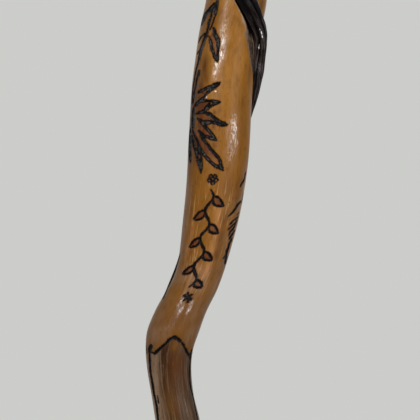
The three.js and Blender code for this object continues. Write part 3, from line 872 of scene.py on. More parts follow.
def panel_field(angles, heights):
    """Millimetres below the edge of the dark stain that starts at the arches."""
    front = from_pixels(PANEL_ARCH_PIXELS)
    left = from_pixels(PANEL_LEFT_PIXELS[:1])[0, 0]
    turn = wrapped(angles)
    behind = np.where(turn < left, turn + 2 * math.pi, turn)
    first = (behind - BACK_PANEL_START) / (BACK_PANEL_MIDDLE - BACK_PANEL_START)
    second = (behind - BACK_PANEL_MIDDLE) / (BACK_PANEL_END - BACK_PANEL_MIDDLE)
    arch = arch_height(np.clip(np.where(behind < BACK_PANEL_MIDDLE, first, second), 0, 1))
    limit = np.interp(turn, front[:, 0], front[:, 1])
    limit = np.where((turn > front[-1, 0]) | (turn < front[0, 0]), arch, limit)
    return np.clip((limit - heights) / MM, -PANEL_LIMIT, PANEL_LIMIT)


def make_shaft(material):
    grid = shaft_skin()
    angles, heights = skin_places(grid)
    foot_ring, top_ring = open_ring(grid, FERRULE_SHOULDER), open_ring(grid, SHOULDER)
    reach, cut = stroke_field(angles, heights, carving.strokes)
    fill = fill_field(angles, heights, carving.fills)
    groove, edge, flank = groove_field(angles, heights)
    sink = STROKE_DEPTH * cut + FILL_DEPTH * fill + FLANK_DEPTH * flank**FLANK_HOLLOW
    sink += hand_shaving(angles, heights)
    sink = np.where(groove > 0, np.maximum(groove, sink), sink)
    places = on_shaft(angles, heights, sink)
    for vertex, place in zip(grid.verts, places):
        vertex.co = place

    (foot_x, top_x), (foot_y, top_y), _ = shaft_at(np.array([FOOT_BASE, SHOULDER]))
    close_end(grid, foot_ring, foot_x, foot_y, [
        (FOOT_RADIUS, FERRULE_SHOULDER), (FOOT_RADIUS, FOOT_BASE + MM), (FOOT_RADIUS - MM, FOOT_BASE)])
    close_end(grid, top_ring, top_x, top_y, [
        (TENON_RADIUS, SHOULDER), (TENON_RADIUS, TENON_TOP), (STUD_BORE, TENON_TOP),
        (STUD_BORE, TENON_TOP - STUD_BORE_DEPTH)])
    spare = len(grid.verts) - len(angles)
    mesh = made_mesh("carved_shaft", grid)

    fields = {"ink": reach / MM, "seam": edge / MM, "leaf": fill, "flank": flank}
    fields["panel"] = panel_field(angles, heights)
    fields |= {name: patch_field(angles, heights, patches) for name, patches in PATCHES.items()}
    for name, values in fields.items():
        add_attribute(mesh, name, np.pad(values, (0, spare), constant_values=END_VALUES.get(name, 0)))
    side, depth, _ = shaft_at(heights)
    grain = np.stack([places[:, 0] - side, places[:, 1] - depth, heights], axis=1)
    add_attribute(mesh, "grain", np.pad(grain, ((0, spare), (0, 0))), "FLOAT_VECTOR")
    return finished(mesh, "stick", ["shaft"], material, SHAFT_SHARP_ANGLE)


# Vine and its pegs

PEG_PLACE_SHARES = {"upper": 0.13, "middle": 0.44, "lower": 0.66}
PEG_RADIUS = 1.1 * MM
PEG_DEPTH = 7 * MM
PEG_REACH_SHARE = 0.35
PEG_CHAMFER = 0.35 * MM
PEG_CHAMFER_LENGTH = 0.5 * MM
PEG_FLUTE = 0.12 * MM


def vine_marks(share, turn, marks):
    amount = np.zeros(share.shape)
    for middle, reach, aim, width, strength in marks:
        spot = np.exp(-((share - middle) / reach) ** 4 - (wrapped(turn - aim) / width) ** 4)
        amount = np.maximum(amount, strength * spot)
    return amount


def make_vine(material):
    """The ridged vine, with finer fibres between its ridges."""
    shares = np.linspace(0, 1, VINE_ROWS)
    middle, outward, size = vine_path(shares)
    along = unit(np.gradient(middle, axis=0))
    across = unit(np.cross(along, outward))
    out = np.cross(across, along)
    share, turn = np.meshgrid(shares, np.arange(VINE_SIDES) * 2 * math.pi / VINE_SIDES, indexing="ij")
    phase = VINE_RIDGES / 2 * (turn - np.radians(VINE_TWIST) * share)
    valley = 1 - np.abs(np.cos(phase + 0.18 * np.sin(14 * share + turn)))
    fibre = np.sin(17 * turn - 60 * share + 2 * np.sin(11 * share + turn))
    fibre += 0.7 * np.sin(29 * turn + 35 * share + 1.5 * np.sin(23 * share))
    knots = np.sin(3 * turn + 26 * share) * np.sin(41 * share + 1)
    swell = VINE_RIDGE_SWELL * valley + VINE_FIBRE_SWELL * fibre + VINE_KNOT_SWELL * knots
    buried = np.clip((np.minimum(turn, 2 * math.pi - turn) - VINE_FREE_TURN) / VINE_FREE_FADE, 0, 1)
    swell *= (size / VINE_RADIUS)[:, None] * (1 - VINE_BURIED_LOSS * buried * buried * (3 - 2 * buried))
    reach = size[:, None] - VINE_SKIN - swell
    places = middle[:, None] + out[:, None] * (reach * np.cos(turn))[..., None]
    places = places + across[:, None] * (reach * np.sin(turn))[..., None]
    ends = places[[0, -1]].mean(axis=1)
    mesh = lofted("ridged_vine", [ends[:1], *places, ends[1:]])
    add_attribute(mesh, "valley", np.pad(valley.ravel(), 1))
    for name, marks in VINE_MARKS.items():
        add_attribute(mesh, name, np.pad(vine_marks(share, turn, marks).ravel(), 1))
    strand = np.stack([size[:, None] * np.cos(turn), size[:, None] * np.sin(turn), share * VINE_RUN], axis=-1)
    add_attribute(mesh, "strand", np.pad(strand.reshape(-1, 3), ((1, 1), (0, 0))), "FLOAT_VECTOR")
    return finished(mesh, "stick", ["vine"], material)


def make_peg(place, share, material):
    """A fluted dowel with chamfered ends."""
    middle, outward, size = (values[0] for values in vine_path(np.array([share])))
    inner = middle - outward * (size + PEG_DEPTH)
    length = size * (1 + PEG_REACH_SHARE) + PEG_DEPTH
    across = np.array([-outward[1], outward[0], 0])
    up = np.array([0, 0, 1.0])
    rings = []
    for depth, shrink in ((0, PEG_CHAMFER), (PEG_CHAMFER_LENGTH, 0),
                          (length - PEG_CHAMFER_LENGTH, 0), (length, PEG_CHAMFER)):
        ring = []
        for side in range(THIN_SIDES):
            reach = PEG_RADIUS - shrink - (PEG_FLUTE if side % 3 == 0 else 0)
            x, z = around((0, 0), reach, 2 * math.pi * side / THIN_SIDES)
            ring.append(inner + outward * depth + across * x + up * z)
        rings.append(ring)
    return finished(lofted(f"dowel_{place}", rings), "stick", [f"vine_peg_{place}"], material)


# Handle

KNOB_FOOT_RADIUS = 16.4 * MM
KNOB_FOOT_ROUND = 1.2 * MM
KNOB_FOOT_HEIGHT = 4 * MM
KNOB_FOOT_EDGE = 0.5 * MM
KNOB_COVE_HEIGHT = 6 * MM
KNOB_NECK_RADIUS = 13.5 * MM
KNOB_RADIUS = 24 * MM
KNOB_BALL_HEIGHT = 42 * MM
KNOB_BORE_DEPTH = 31 * MM
KNOB_RING_TURNS = (-0.1, 0.06)
KNOB_RING_DEPTH = 0.5 * MM
KNOB_RING_WIDTH = 0.022
STUD_THREAD_PITCH = 1.25 * MM
STUD_THREAD_DEPTH = 0.6 * MM
STUD_CHAMFER = 0.8 * MM
STUD_ROWS = 300
COLLAR_BEAD = 1.1 * MM
COLLAR_BEAD_SHARE = 0.125
COLLAR_LIP = 0.4 * MM
COLLAR_HOLLOW = 0.7 * MM


def make_knob(material):
    low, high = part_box("handle_knob")
    bore_top = low.z + KNOB_BORE_DEPTH
    foot = KNOB_FOOT_RADIUS - KNOB_FOOT_ROUND
    outline = [(0, bore_top), (STUD_BORE, bore_top), (STUD_BORE, low.z), (foot, low.z)]
    outline += arc((foot, low.z + KNOB_FOOT_ROUND), KNOB_FOOT_ROUND, -90, 0, 6)
    outline += [(KNOB_FOOT_RADIUS, low.z + KNOB_FOOT_HEIGHT - KNOB_FOOT_EDGE)]
    for turn in np.linspace(0, math.pi / 2, 11):
        outline.append((
            KNOB_FOOT_RADIUS - (KNOB_FOOT_RADIUS - KNOB_NECK_RADIUS) * math.sin(turn),
            low.z + KNOB_FOOT_HEIGHT + KNOB_COVE_HEIGHT * (1 - math.cos(turn))))
    reach = KNOB_BALL_HEIGHT / 2
    for turn in np.linspace(-math.acos(KNOB_NECK_RADIUS / KNOB_RADIUS), math.pi / 2, 73):
        groove = sum(math.exp(-((turn - ring) / KNOB_RING_WIDTH) ** 2) for ring in KNOB_RING_TURNS)
        radius = KNOB_RADIUS * math.cos(turn) - KNOB_RING_DEPTH * groove
        outline.append((radius, high.z - reach + reach * math.sin(turn)))
    return turned(
        "turned_knob", outline, axis_of((low, high)), "stick", "handle_knob", material)


def make_collar(material):
    low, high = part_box("handle_collar")
    bore = TENON_RADIUS + SEAT_GAP
    face = (high.x - low.x) / 2 - COLLAR_BEAD
    height = high.z - low.z
    bead = height * COLLAR_BEAD_SHARE
    outline = [(bore, low.z), (face - COLLAR_LIP, low.z)]
    outline += arc((face, low.z + bead), COLLAR_BEAD, -80, 80, 11)
    for share in np.linspace(0, 1, 13)[1:-1]:
        outline.append((
            face - COLLAR_HOLLOW * math.sin(math.pi * share), low.z + 2 * bead + (height - 4 * bead) * share))
    outline += arc((face, high.z - bead), COLLAR_BEAD, -80, 80, 11)
    outline += [(face - COLLAR_LIP, high.z), (bore, high.z)]
    return turned("ring_collar", outline, axis_of((low, high)), "stick", "handle_collar", material)


def make_stud(material):
    """A threaded rod: the radius of its rings follows the thread's helix."""
    low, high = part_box("handle_stud")
    radius, length = (high.x - low.x) / 2, high.z - low.z
    rings = []
    for row in range(STUD_ROWS + 1):
        height = low.z + length * row / STUD_ROWS
        blunt = max(0, STUD_CHAMFER - min(row, STUD_ROWS - row) / STUD_ROWS * length)
        ring = []
        for side in range(THIN_SIDES):
            phase = (height / STUD_THREAD_PITCH - side / THIN_SIDES) % 1
            reach = radius - STUD_THREAD_DEPTH * abs(2 * phase - 1) - blunt
            ring.append((*around(axis_of((low, high)), reach, 2 * math.pi * side / THIN_SIDES), height))
        rings.append(ring)
    return finished(lofted("threaded_stud", rings), "stick", ["handle_stud"], material)


# Foot

FERRULE_WALL = 1 * MM
FERRULE_FLOOR = 2 * MM
FERRULE_BEAD = 0.7 * MM
FERRULE_BEAD_HEIGHT = 3 * MM
FERRULE_BEAD_FULLNESS = 0.6
FERRULE_RADIUS = FOOT_RADIUS + SEAT_GAP + FERRULE_WALL

# How far below its top the ferrule's turned line lies, and how far inside its face
FERRULE_LINE = [(7 * MM, 0), (6.6 * MM, 0.25 * MM), (6.2 * MM, 0)]
PIN_SHANK = 0.8 * MM
PIN_POINT = 1.5 * MM
PIN_TIP_SHARE = 0.3
PIN_HEAD_EDGE = 0.2 * MM
SOCKET_RADIUS = FERRULE_RADIUS + SEAT_GAP
TIP_SOLE = 9 * MM
TIP_WALL = 3.2 * MM
TIP_SOLE_EDGE = 1.5 * MM
TIP_SKIRT = 8 * MM
TIP_RIM = 4.5 * MM
TIP_RIM_PROUD = 1.2 * MM
TIP_RIM_LIFT = 0.6 * MM
TIP_LIP_EDGE = 0.5 * MM
TIP_SHARP_ANGLE = 30
SOLE_RING_RADII = (6.2 * MM, 11 * MM)
SOLE_RING_WIDTH = 1.6 * MM
SOLE_RING_DEPTH = 1.4 * MM

# Points of a groove in the sole: shares of its width and of its depth
SOLE_RING = [(-0.5, 0), (-0.3, 1), (0.3, 1), (0.5, 0)]

# Rings round the tip's wall: their shares of its height, and each point's height and depth
WALL_RING_SHARES = (0.2, 0.5, 0.8)
WALL_RING_END = 1.5 * MM
WALL_RING_LIFT = 0.5 * MM
WALL_RING = [(-0.6 * MM, 0), (-0.25 * MM, 0.5 * MM), (0.25 * MM, 0.5 * MM), (0.6 * MM, 0)]
WASHER_BORE = 3 * MM
WASHER_EDGE = 0.3 * MM


def make_ferrule(material):
    low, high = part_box("ferrule")
    bore = FERRULE_RADIUS - FERRULE_WALL
    outline = [(0, low.z), (bore, low.z)]
    outline += arc((bore, low.z + FERRULE_WALL), FERRULE_WALL, -80, 0, 6)
    outline += [(FERRULE_RADIUS - inside, high.z - drop) for drop, inside in FERRULE_LINE]
    outline += [(FERRULE_RADIUS, high.z - FERRULE_BEAD_HEIGHT)]
    for share in np.linspace(0, 1, 13)[1:-1]:
        outline.append((
            FERRULE_RADIUS + FERRULE_BEAD * math.sin(math.pi * share) ** FERRULE_BEAD_FULLNESS,
            high.z - FERRULE_BEAD_HEIGHT * (1 - share)))
    floor = low.z + FERRULE_FLOOR
    outline += [(FERRULE_RADIUS, high.z), (bore, high.z), (bore, floor), (0, floor)]
    return turned("foot_ferrule", outline, (0, 0), "stick", "ferrule", material)


def make_pin(material):
    """A domed nail, driven in from the front."""
    low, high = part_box("ferrule_pin")
    middle = (0, (low.z + high.z) / 2)
    head = (high.x - low.x) / 2
    face = -SOCKET_RADIUS
    edge = face - PIN_HEAD_EDGE
    outline = [(0, high.y), (PIN_SHANK * PIN_TIP_SHARE, high.y), (PIN_SHANK, high.y - PIN_POINT),
               (PIN_SHANK, face), (head, face)]
    for turn in np.linspace(0, math.pi / 2, 9):
        outline.append((head * math.cos(turn), edge - (edge - low.y) * math.sin(turn)))
    rings = [[(x, depth, z) for x, z in round_ring(middle, radius, THIN_SIDES)] for radius, depth in outline]
    return finished(lofted("ferrule_nail", rings), "stick", ["ferrule_pin"], material)


def make_washer(material):
    low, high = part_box("tip_washer")
    radius = (high.x - low.x) / 2
    inner, outer = WASHER_BORE + WASHER_EDGE, radius - WASHER_EDGE
    below, above = low.z + WASHER_EDGE, high.z - WASHER_EDGE
    outline = [
        (WASHER_BORE, below), (inner, low.z), (outer, low.z), (radius, below),
        (radius, above), (outer, high.z), (inner, high.z), (WASHER_BORE, above)]
    return turned("socket_washer", outline, (0, 0), "rubber_foot", "tip_washer", material)


def make_tip(material):
    low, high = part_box("rubber_tip")
    wall = SOCKET_RADIUS + TIP_WALL
    sole = (high.x - low.x) / 2
    top = high.z
    outline = [(0, 0)]
    for ring in SOLE_RING_RADII:
        outline += [(ring + across * SOLE_RING_WIDTH, depth * SOLE_RING_DEPTH) for across, depth in SOLE_RING]
    outline += arc((sole - TIP_SOLE_EDGE, TIP_SOLE_EDGE), TIP_SOLE_EDGE, -88, 0, 8)
    base, shoulder = TIP_SKIRT / 2, TIP_SOLE + TIP_SKIRT
    for share in np.linspace(0, 1, 21):
        ease = share * share * (3 - 2 * share)
        outline.append((sole + (wall - sole) * ease, base + (shoulder - base) * share))
    for ring in WALL_RING_SHARES:
        height = shoulder + (top - TIP_RIM - shoulder - WALL_RING_END) * ring + WALL_RING_LIFT
        outline += [(wall - inside, height + up) for up, inside in WALL_RING]
    outline += arc((wall, top - TIP_RIM + TIP_RIM_LIFT), TIP_RIM_PROUD, -75, 0, 6)
    outline += arc((wall, top - TIP_RIM_PROUD), TIP_RIM_PROUD, 0, 88, 7)
    outline += [(SOCKET_RADIUS + TIP_LIP_EDGE, top), (SOCKET_RADIUS, top - TIP_LIP_EDGE),
                (SOCKET_RADIUS, TIP_SOLE), (0, TIP_SOLE)]
    return turned(
        "moulded_tip", outline, (0, 0), "rubber_foot", "rubber_tip", material, TIP_SHARP_ANGLE)


# Materials

def linear(red, green, blue):
    """A colour read in the usual 0 to 255 steps, as the linear values that a shader takes."""
    steps = (red, green, blue)
    return tuple(((c / 255 + 0.055) / 1.055) ** 2.4 if c > 10 else c / 3294 for c in steps) + (1.0,)


class Nodes:
    """A node tree under construction."""

    def __init__(self, tree):
        self.tree = tree

    def node(self, kind, inputs=None, **settings):
        made = self.tree.nodes.new(kind)
        for key, value in settings.items():
            setattr(made, key, value)
        for socket, source in (inputs or {}).items():
            self.feed(made.inputs[socket], source)
        return made

    def attribute(self, name, output="Fac"):
        return self.node("ShaderNodeAttribute", attribute_name=name).outputs[output]

    def feed(self, socket, source):
        """Gives a socket its value, or links it to another socket or to the mesh attribute of a name."""
        if isinstance(source, str):
            source = self.attribute(source)
        if isinstance(source, bpy.types.NodeSocket):
            self.tree.links.new(source, socket)
        else:
            socket.default_value = source

    def range(self, value, low, high, to_low=0.0, to_high=1.0):
        """Carries a value from one range to another, softly and no further."""
        return self.node("ShaderNodeMapRange", {
            "Value": value, "From Min": low, "From Max": high, "To Min": to_low, "To Max": to_high},
            interpolation_type="SMOOTHSTEP").outputs["Result"]

    def math(self, operation, *values):
        """One operation over two or more values in turn. A tuple is a value with its range."""
        total, *others = (self.range(*value) if isinstance(value, tuple) else value for value in values)
        for value in others:
            total = self.node("ShaderNodeMath", {0: total, 1: value}, operation=operation).outputs[0]
        return total

    def times(self, *values):
        return self.math("MULTIPLY", *values)

    def plus(self, *values):
        return self.math("ADD", *values)


class Look(Nodes):
    """A node material under construction."""

    def __init__(self, name):
        self.material = bpy.data.materials.new(name)
        self.material.use_nodes = True
        super().__init__(self.material.node_tree)
        self.shader = self.tree.nodes["Principled BSDF"]

    def set(self, **values):
        for name, source in values.items():
            self.feed(self.shader.inputs[name.replace("_", " ")], source)

    def place(self):
        return self.node("ShaderNodeTexCoord").outputs["Object"]

    def part(self, vector, axis):
        return self.node("ShaderNodeSeparateXYZ", {"Vector": vector}).outputs[axis]

    def vector(self, operation, *inputs, output=0):
        made = self.node("ShaderNodeVectorMath", dict(enumerate(inputs)), operation=operation)
        return made.outputs[output]

    def noise(self, vector, scale, detail, roughness, distortion=0.0, upright=1):
        """Noise with a share of its scale in height: under 1 for upright streaks, over 1 for rings."""
        if upright != 1:
            vector = self.node("ShaderNodeMapping", {"Vector": vector, "Scale": (1, 1, upright)}).outputs[0]
        return self.node("ShaderNodeTexNoise", {
            "Vector": vector, "Scale": scale, "Detail": detail, "Roughness": roughness,
            "Distortion": distortion}).outputs["Fac"]

    def mix(self, amount, one, two):
        return self.node("ShaderNodeMix", {0: amount, 6: one, 7: two}, data_type="RGBA").outputs[2]

    def layered(self, colour, *layers):
        """A colour with others over it: each the colour, its amount and, where it needs one, the range."""
        for tint, amount, *limits in layers:
            colour = self.mix(self.range(amount, *limits) if limits else amount, colour, tint)
        return colour

    def bump(self, height, strength, distance, **below):
        inputs = {"Height": height, "Strength": strength, "Distance": distance, **below}
        return self.node("ShaderNodeBump", inputs).outputs["Normal"]

    def flats(self, amount, facing, normal):
        """Turns small polished flats in the varnish to face one way."""
        turn = self.node("ShaderNodeVectorMath", {
            0: facing, "Scale": self.range(amount, 0.2, 0.5, 0, FLAT_STRENGTH)}, operation="SCALE").outputs[0]
        return self.vector("NORMALIZE", self.vector("ADD", normal, turn))


AMBER = linear(148, 98, 32)
AMBER_LIGHT = linear(160, 112, 50)
AMBER_DEEP = linear(122, 77, 22)
KNEE_BROWN = linear(92, 55, 14)
# Brown of the burnt stain and of the painted shade
STAIN_AND_SHADE_BROWN = linear(80, 44, 14)
LEAF_BROWN = linear(56, 27, 11)
LEAF_FILL = linear(92, 44, 16)
LEAF_PALE = linear(118, 72, 38)
LEAF_AMBER = linear(136, 88, 36)
# Pink of the painted sheen
PAINTED_SHEEN_PINK = linear(186, 132, 88)
GOLDEN = linear(128, 84, 26)
STRIPE_PALE = linear(190, 146, 92)
EDGE_GREY_AND_SHEEN = linear(120, 92, 68)
STAIN_DARK = linear(36, 20, 9)
STAIN_MID = linear(72, 49, 27)
STAIN_PALE_AND_SHEEN = linear(136, 110, 88)
STAIN_GREY_AND_SHEEN = linear(78, 60, 46)
# Black of the burnt lines, and of the painted shade where the flank meets the vine
BURNT_AND_SHADE_BLACK = linear(4, 3, 3)
CHAR_AND_SHEEN_GREY = linear(70, 68, 66)
SCORCHED = linear(66, 45, 38)
# Colour of the painted highlight on the flank's lip
FLANK_LIP_HIGHLIGHT = linear(158, 130, 104)
FLANK_DARK = linear(44, 34, 27)
FLANK_MID = linear(96, 79, 62)
BARK = linear(11, 6, 6)
BARK_FIBRE = linear(69, 57, 55)
BARK_WORN = linear(62, 46, 41)
BARK_DARK = linear(18, 12, 12)
BARK_TOP = linear(6, 3, 3)
# Black of the painted shade in the vine's valleys
VALLEY_SHADE_BLACK = linear(2, 1, 1)
# Black of the painted shade down the vine's side in the groove
GROOVE_SHADE_BLACK = linear(3, 2, 2)
KNOB_DARK = linear(88, 50, 18)
KNOB_LIGHT = linear(142, 90, 36)
KNOB_BAND = linear(70, 38, 14)
DOWEL_DARK = linear(160, 124, 82)
DOWEL_LIGHT = linear(196, 162, 116)
BRASS = linear(206, 170, 98)
BRASS_DULL = linear(138, 100, 52)
STEEL = linear(176, 178, 180)
STEEL_DULL = linear(120, 118, 114)
RUBBER = linear(26, 26, 27)
RUBBER_WORN = linear(52, 51, 50)
SOLE_DUST = linear(74, 70, 64)

# The polished flats: how far they turn, and where to, between the camera and the lamp that they show
FLAT_STRENGTH = 80
SHAFT_FLAT_FACING = (-0.251, -0.966, 0.058)
VINE_FLAT_FACING = (0.43, -0.901, -0.059)


def shaft_look():
    """Amber wood, and over it stain, painted shade and sheen, leaves, scorching, the pared flank with its
    painted highlight and shade, burnt lines and varnish.
    """
    look = Look("varnished_carved_wood")
    grain = look.attribute("grain", "Vector")
    side, height = look.part(grain, "X"), look.part(grain, "Z")
    streaks = look.noise(grain, 420, 6, 0.6, 0.4, upright=0.05)
    bands = look.noise(grain, 95, 4, 0.6, 0.8, upright=0.2)
    clouds = look.noise(grain, 38, 3, 0.5)
    fine = look.noise(grain, 1400, 3, 0.6, upright=0.06)
    mottle = look.noise(grain, 520, 4, 0.7, upright=0.3)
    colour = look.layered(
        AMBER,
        (AMBER_DEEP, streaks, 0.3, 0.7, 0, 0.55),
        (AMBER_LIGHT, bands, 0.42, 0.68, 0, 0.6),
        (AMBER_DEEP, clouds, 0.48, 0.72, 0, 0.5),
        (AMBER_LIGHT, mottle, 0.5, 0.3, 0, 0.5),
        (AMBER_DEEP, height, 0.69, 0.78, 0.85, 0),
        (KNEE_BROWN, height, 0.6, 0.68, 0.8, 0))

    lines = look.noise(grain, 620, 4, 0.65, 0.5, upright=0.06)
    stain = look.layered(
        STAIN_MID,
        (STAIN_DARK, height, 0.57, 0.60),
        # Lighter on the stain's left side and greyer on its right: partly its own tone, partly painted sheen
        # where the shaft turns away
        (STAIN_PALE_AND_SHEEN, side, -0.0085, -0.003, 0.85, 0),
        (STAIN_GREY_AND_SHEEN, side, 0.001, 0.006, 0, 0.8),
        (STAIN_DARK, lines, 0.48, 0.62, 0, 0.55),
        (STAIN_PALE_AND_SHEEN, lines, 0.48, 0.36, 0, 0.3),
        (STAIN_MID, bands, 0.5, 0.66, 0, 0.35))
    panel = look.plus("panel", (clouds, 0.3, 0.7, -1.5, 1.5))
    stripes = look.noise(grain, 1000, 2, 0.5, 0.3, upright=0.03)
    stripes = look.times((stripes, 0.58, 0.68, 0, 0.5), (height, 0.705, 0.69), (height, 0.626, 0.64))
    # Painted sheen from the lighter patches, broken by the streaks
    sheen_and_pale_streaks = look.times("pale", (streaks, 0.35, 0.6, 1, 0.5))
    colour = look.layered(
        colour,
        (stain, panel, -0.4, 1.2),
        (GOLDEN, "gold"),
        (STRIPE_PALE, stripes),
        # Dark patches: burnt stain and painted shade
        (STAIN_AND_SHADE_BROWN, "shade"),
        # Grey edges: the wood's own grey and painted sheen
        (EDGE_GREY_AND_SHEEN, "grey"),
        (PAINTED_SHEEN_PINK, sheen_and_pale_streaks),
        (STAIN_AND_SHADE_BROWN, mottle, 0.5, 0.7, 0, 0.45),
        (AMBER_DEEP, fine, 0.55, 0.8, 0, 0.4))

    tips = look.times((height, 0.715, 0.705, 0, 0.65), (height, 0.688, 0.698))
    inner = look.layered(
        LEAF_FILL,
        (LEAF_PALE, bands, 0.45, 0.7, 0, 0.8),
        (LEAF_BROWN, mottle, 0.45, 0.65, 0, 0.6),
        (LEAF_AMBER, tips),
        (LEAF_PALE, height, 0.762, 0.77, 0, 0.6))
    fibres = look.noise(grain, 900, 4, 0.6, 0.4, upright=0.12)
    specks = look.noise(grain, 900, 2, 0.5, upright=0.45)
    colour = look.layered(
        colour,
        (inner, look.times("leaf", 0.9)),
        (SCORCHED, look.times("scorch", (fibres, 0.62, 0.42, 0.55, 1))),
        (BURNT_AND_SHADE_BLACK, look.times("scorch", (fibres, 0.5, 0.62))),
        (LEAF_BROWN, specks, 0.68, 0.75, 0, 0.7))

    flecks = look.noise(grain, 900, 3, 0.6, upright=0.5)
    # Painted highlight along the flank's lip, brightest near the top, and a thin highlight line lower down
    lip_highlight_top = look.times(("flank", 0.6, 0.2, 0, 0.85), (height, 0.774, 0.79))
    lip_highlight_line = look.times(("flank", 0.8, 0.87), ("flank", 0.95, 0.9), (height, 0.762, 0.766, 0, 0.7))
    pared = look.layered(
        FLANK_DARK,
        (FLANK_MID, flecks, 0.42, 0.66),
        (FLANK_LIP_HIGHLIGHT, "flank", 0.22, 0.02, 0, 0.35),
        (FLANK_LIP_HIGHLIGHT, lip_highlight_top),
        (FLANK_LIP_HIGHLIGHT, lip_highlight_line),
        # Painted shade in black where the flank runs into the vine's groove
        (BURNT_AND_SHADE_BLACK, look.times(("flank", 0.5, 0.66), (height, 0.776, 0.781))),
        (BURNT_AND_SHADE_BLACK, look.times(("flank", 0.5, 0.75), (height, 0.765, 0.761))),
        (BURNT_AND_SHADE_BLACK, "flank", 0.93, 0.97))

    ragged = look.range(look.noise(grain, 1500, 3, 0.6), 0.25, 0.75, -0.3, 0.3)
    uneven = look.range(look.noise(grain, 340, 2, 0.5), 0.3, 0.7, -0.16, 0.16)
    line = look.plus(ragged, uneven, "ink")
    seam = look.range("seam", -1.3, -0.9, 1, 0)
    black = look.math("MAXIMUM", (line, -0.06, 0.12, 1, 0), seam)
    # Grey centres in the wider cuts: partly char, partly painted sheen on the glossy black
    ash_and_sheen_spread = look.range(look.noise(grain, 420, 2, 0.5), 0.42, 0.62, 0.05, 0.85)
    ash_and_sheen = look.times(ash_and_sheen_spread, (height, 0.698, 0.704), (line, -0.42, -0.78))
    colour = look.layered(
        colour,
        (pared, "flank", 0.0, 0.12),
        (LEAF_BROWN, line, 0.0, 0.7, 0.65, 0),
        (look.mix(ash_and_sheen, BURNT_AND_SHADE_BLACK, CHAR_AND_SHEEN_GREY), black))

    smooth = look.range(look.noise(grain, 1000, 2, 0.5, upright=0.8), 0.42, 0.62, 0.45, 1.5)
    grainy = look.range(look.noise(grain, 1250, 1, 0.5), 0.47, 0.6, 0.1, 3.6)
    lower = look.times((height, 0.748, 0.738), (height, 0.68, 0.7))
    sparkle = look.plus(smooth, look.times(lower, look.math("SUBTRACT", grainy, smooth)))
    normal = look.bump(fine, 0.3, 0.0001)
    normal = look.bump(look.noise(grain, 900, 3, 0.5, upright=0.4), 0.4, 0.0003, Normal=normal)
    facing = look.node("ShaderNodeLayerWeight", {"Blend": 0.3}).outputs["Facing"]
    shine = look.plus((facing, 0.35, 0.95, 0.015, 0.28), look.times("gloss", sparkle))
    shine = look.plus(look.times(shine, (black, 0.2, 0.8, 1, 0.15)), ("bead", 0.15, 1.0, 0, 0.6))
    varnish = look.flats("bead", SHAFT_FLAT_FACING, normal)
    look.set(Base_Color=colour, Normal=normal, Coat_Normal=varnish, Coat_Weight=shine)
    look.set(Roughness=look.range(streaks, 0.3, 0.7, 0.38, 0.3), Coat_Roughness=0.1, Coat_IOR=1.8, IOR=1.15)
    return look.material


def vine_look():
    """Dark bark with paler fibres, and black painted shade in the valleys between its ridges and down its
    side in the groove.
    """
    look = Look("dark_ridged_vine")
    place = look.place()
    strand = look.attribute("strand", "Vector")
    fibre = look.noise(strand, 1250, 4, 0.6, 0.3, upright=0.08)
    bark = look.noise(strand, 330, 3, 0.6, upright=0.2)
    colour = look.layered(
        BARK,
        (BARK_FIBRE, fibre, 0.45, 0.58),
        (BARK_WORN, bark, 0.52, 0.7, 0, 0.6),
        (BARK_DARK, bark, 0.48, 0.34, 0, 0.7),
        (BARK_TOP, look.part(place, "Z"), 0.784, 0.796, 0, 0.8),
        # Painted shade in black down the valleys between the ridges
        (VALLEY_SHADE_BLACK, "valley", 0.42, 0.75),
        # Painted shade down the side in the groove
        (GROOVE_SHADE_BLACK, "groove_shade"))
    normal = look.bump(fibre, look.range("lit", 0.1, 0.6, 0.8, 0.1), 0.0004)
    normal = look.bump(look.noise(place, 700, 3, 0.6), 0.4, 0.0002, Normal=normal)
    shine = look.plus(0.05, "gloss", ("lit", 0.15, 1.0, 0, 0.75))
    varnish = look.flats("lit", VINE_FLAT_FACING, normal)
    look.set(Base_Color=colour, Normal=normal, Coat_Normal=varnish, Coat_Weight=shine)
    look.set(Roughness=look.range(bark, 0.3, 0.7, 0.3, 0.45), Coat_Roughness=0.12, Coat_IOR=1.8, IOR=1.1)
    return look.material


def turned_wood_look():
    look = Look("turned_varnished_wood")
    place = look.place()
    streaks = look.noise(place, 380, 6, 0.6, 0.5, upright=0.08)
    bands = look.noise(place, 70, 4, 0.6, 1.2, upright=0.25)
    wood = look.layered(KNOB_DARK, (KNOB_LIGHT, streaks, 0.35, 0.68), (KNOB_BAND, bands, 0.45, 0.62, 0, 0.7))
    normal = look.bump(streaks, 0.2, 0.0001)
    normal = look.bump(look.noise(place, 500, 3, 0.5), 0.25, 0.0003, Normal=normal)
    look.set(Base_Color=wood, Normal=normal, Coat_Normal=normal)
    look.set(Roughness=look.range(bands, 0.3, 0.7, 0.34, 0.44), IOR=1.25)
    look.set(Coat_Weight=0.4, Coat_Roughness=0.12)
    return look.material


def plain_look(name, colours, patches, roughness, relief, bump):
    """A material whose two colours and roughness follow one noise, and whose relief follows another."""
    look = Look(name)
    place = look.place()
    spots = look.noise(place, *patches)
    colour = look.layered(colours[0], (colours[1], spots, *colours[2]))
    look.set(Base_Color=colour, Roughness=look.range(spots, 0.3, 0.7, *roughness))
    look.set(Normal=look.bump(look.noise(place, *relief), *bump))
    return look, colour


def bare_wood_look():
    streaks = (900, 5, 0.6, 0.0, 0.3)
    look, _ = plain_look(
        "bare_dowel_wood", (DOWEL_DARK, DOWEL_LIGHT, (0.35, 0.65)), streaks, (0.6, 0.75),
        streaks, (0.3, 0.0001))
    return look.material


def metal_look(name, bright, dull, scale, roughness):
    look, _ = plain_look(
        name, (bright, dull, (0.42, 0.68, 0, 0.75)), (160, 5, 0.6), (roughness, roughness + 0.2),
        (scale, 5, 0.65, 0.0, 14), (0.18, 0.0001))
    look.set(Metallic=1.0)
    return look.material


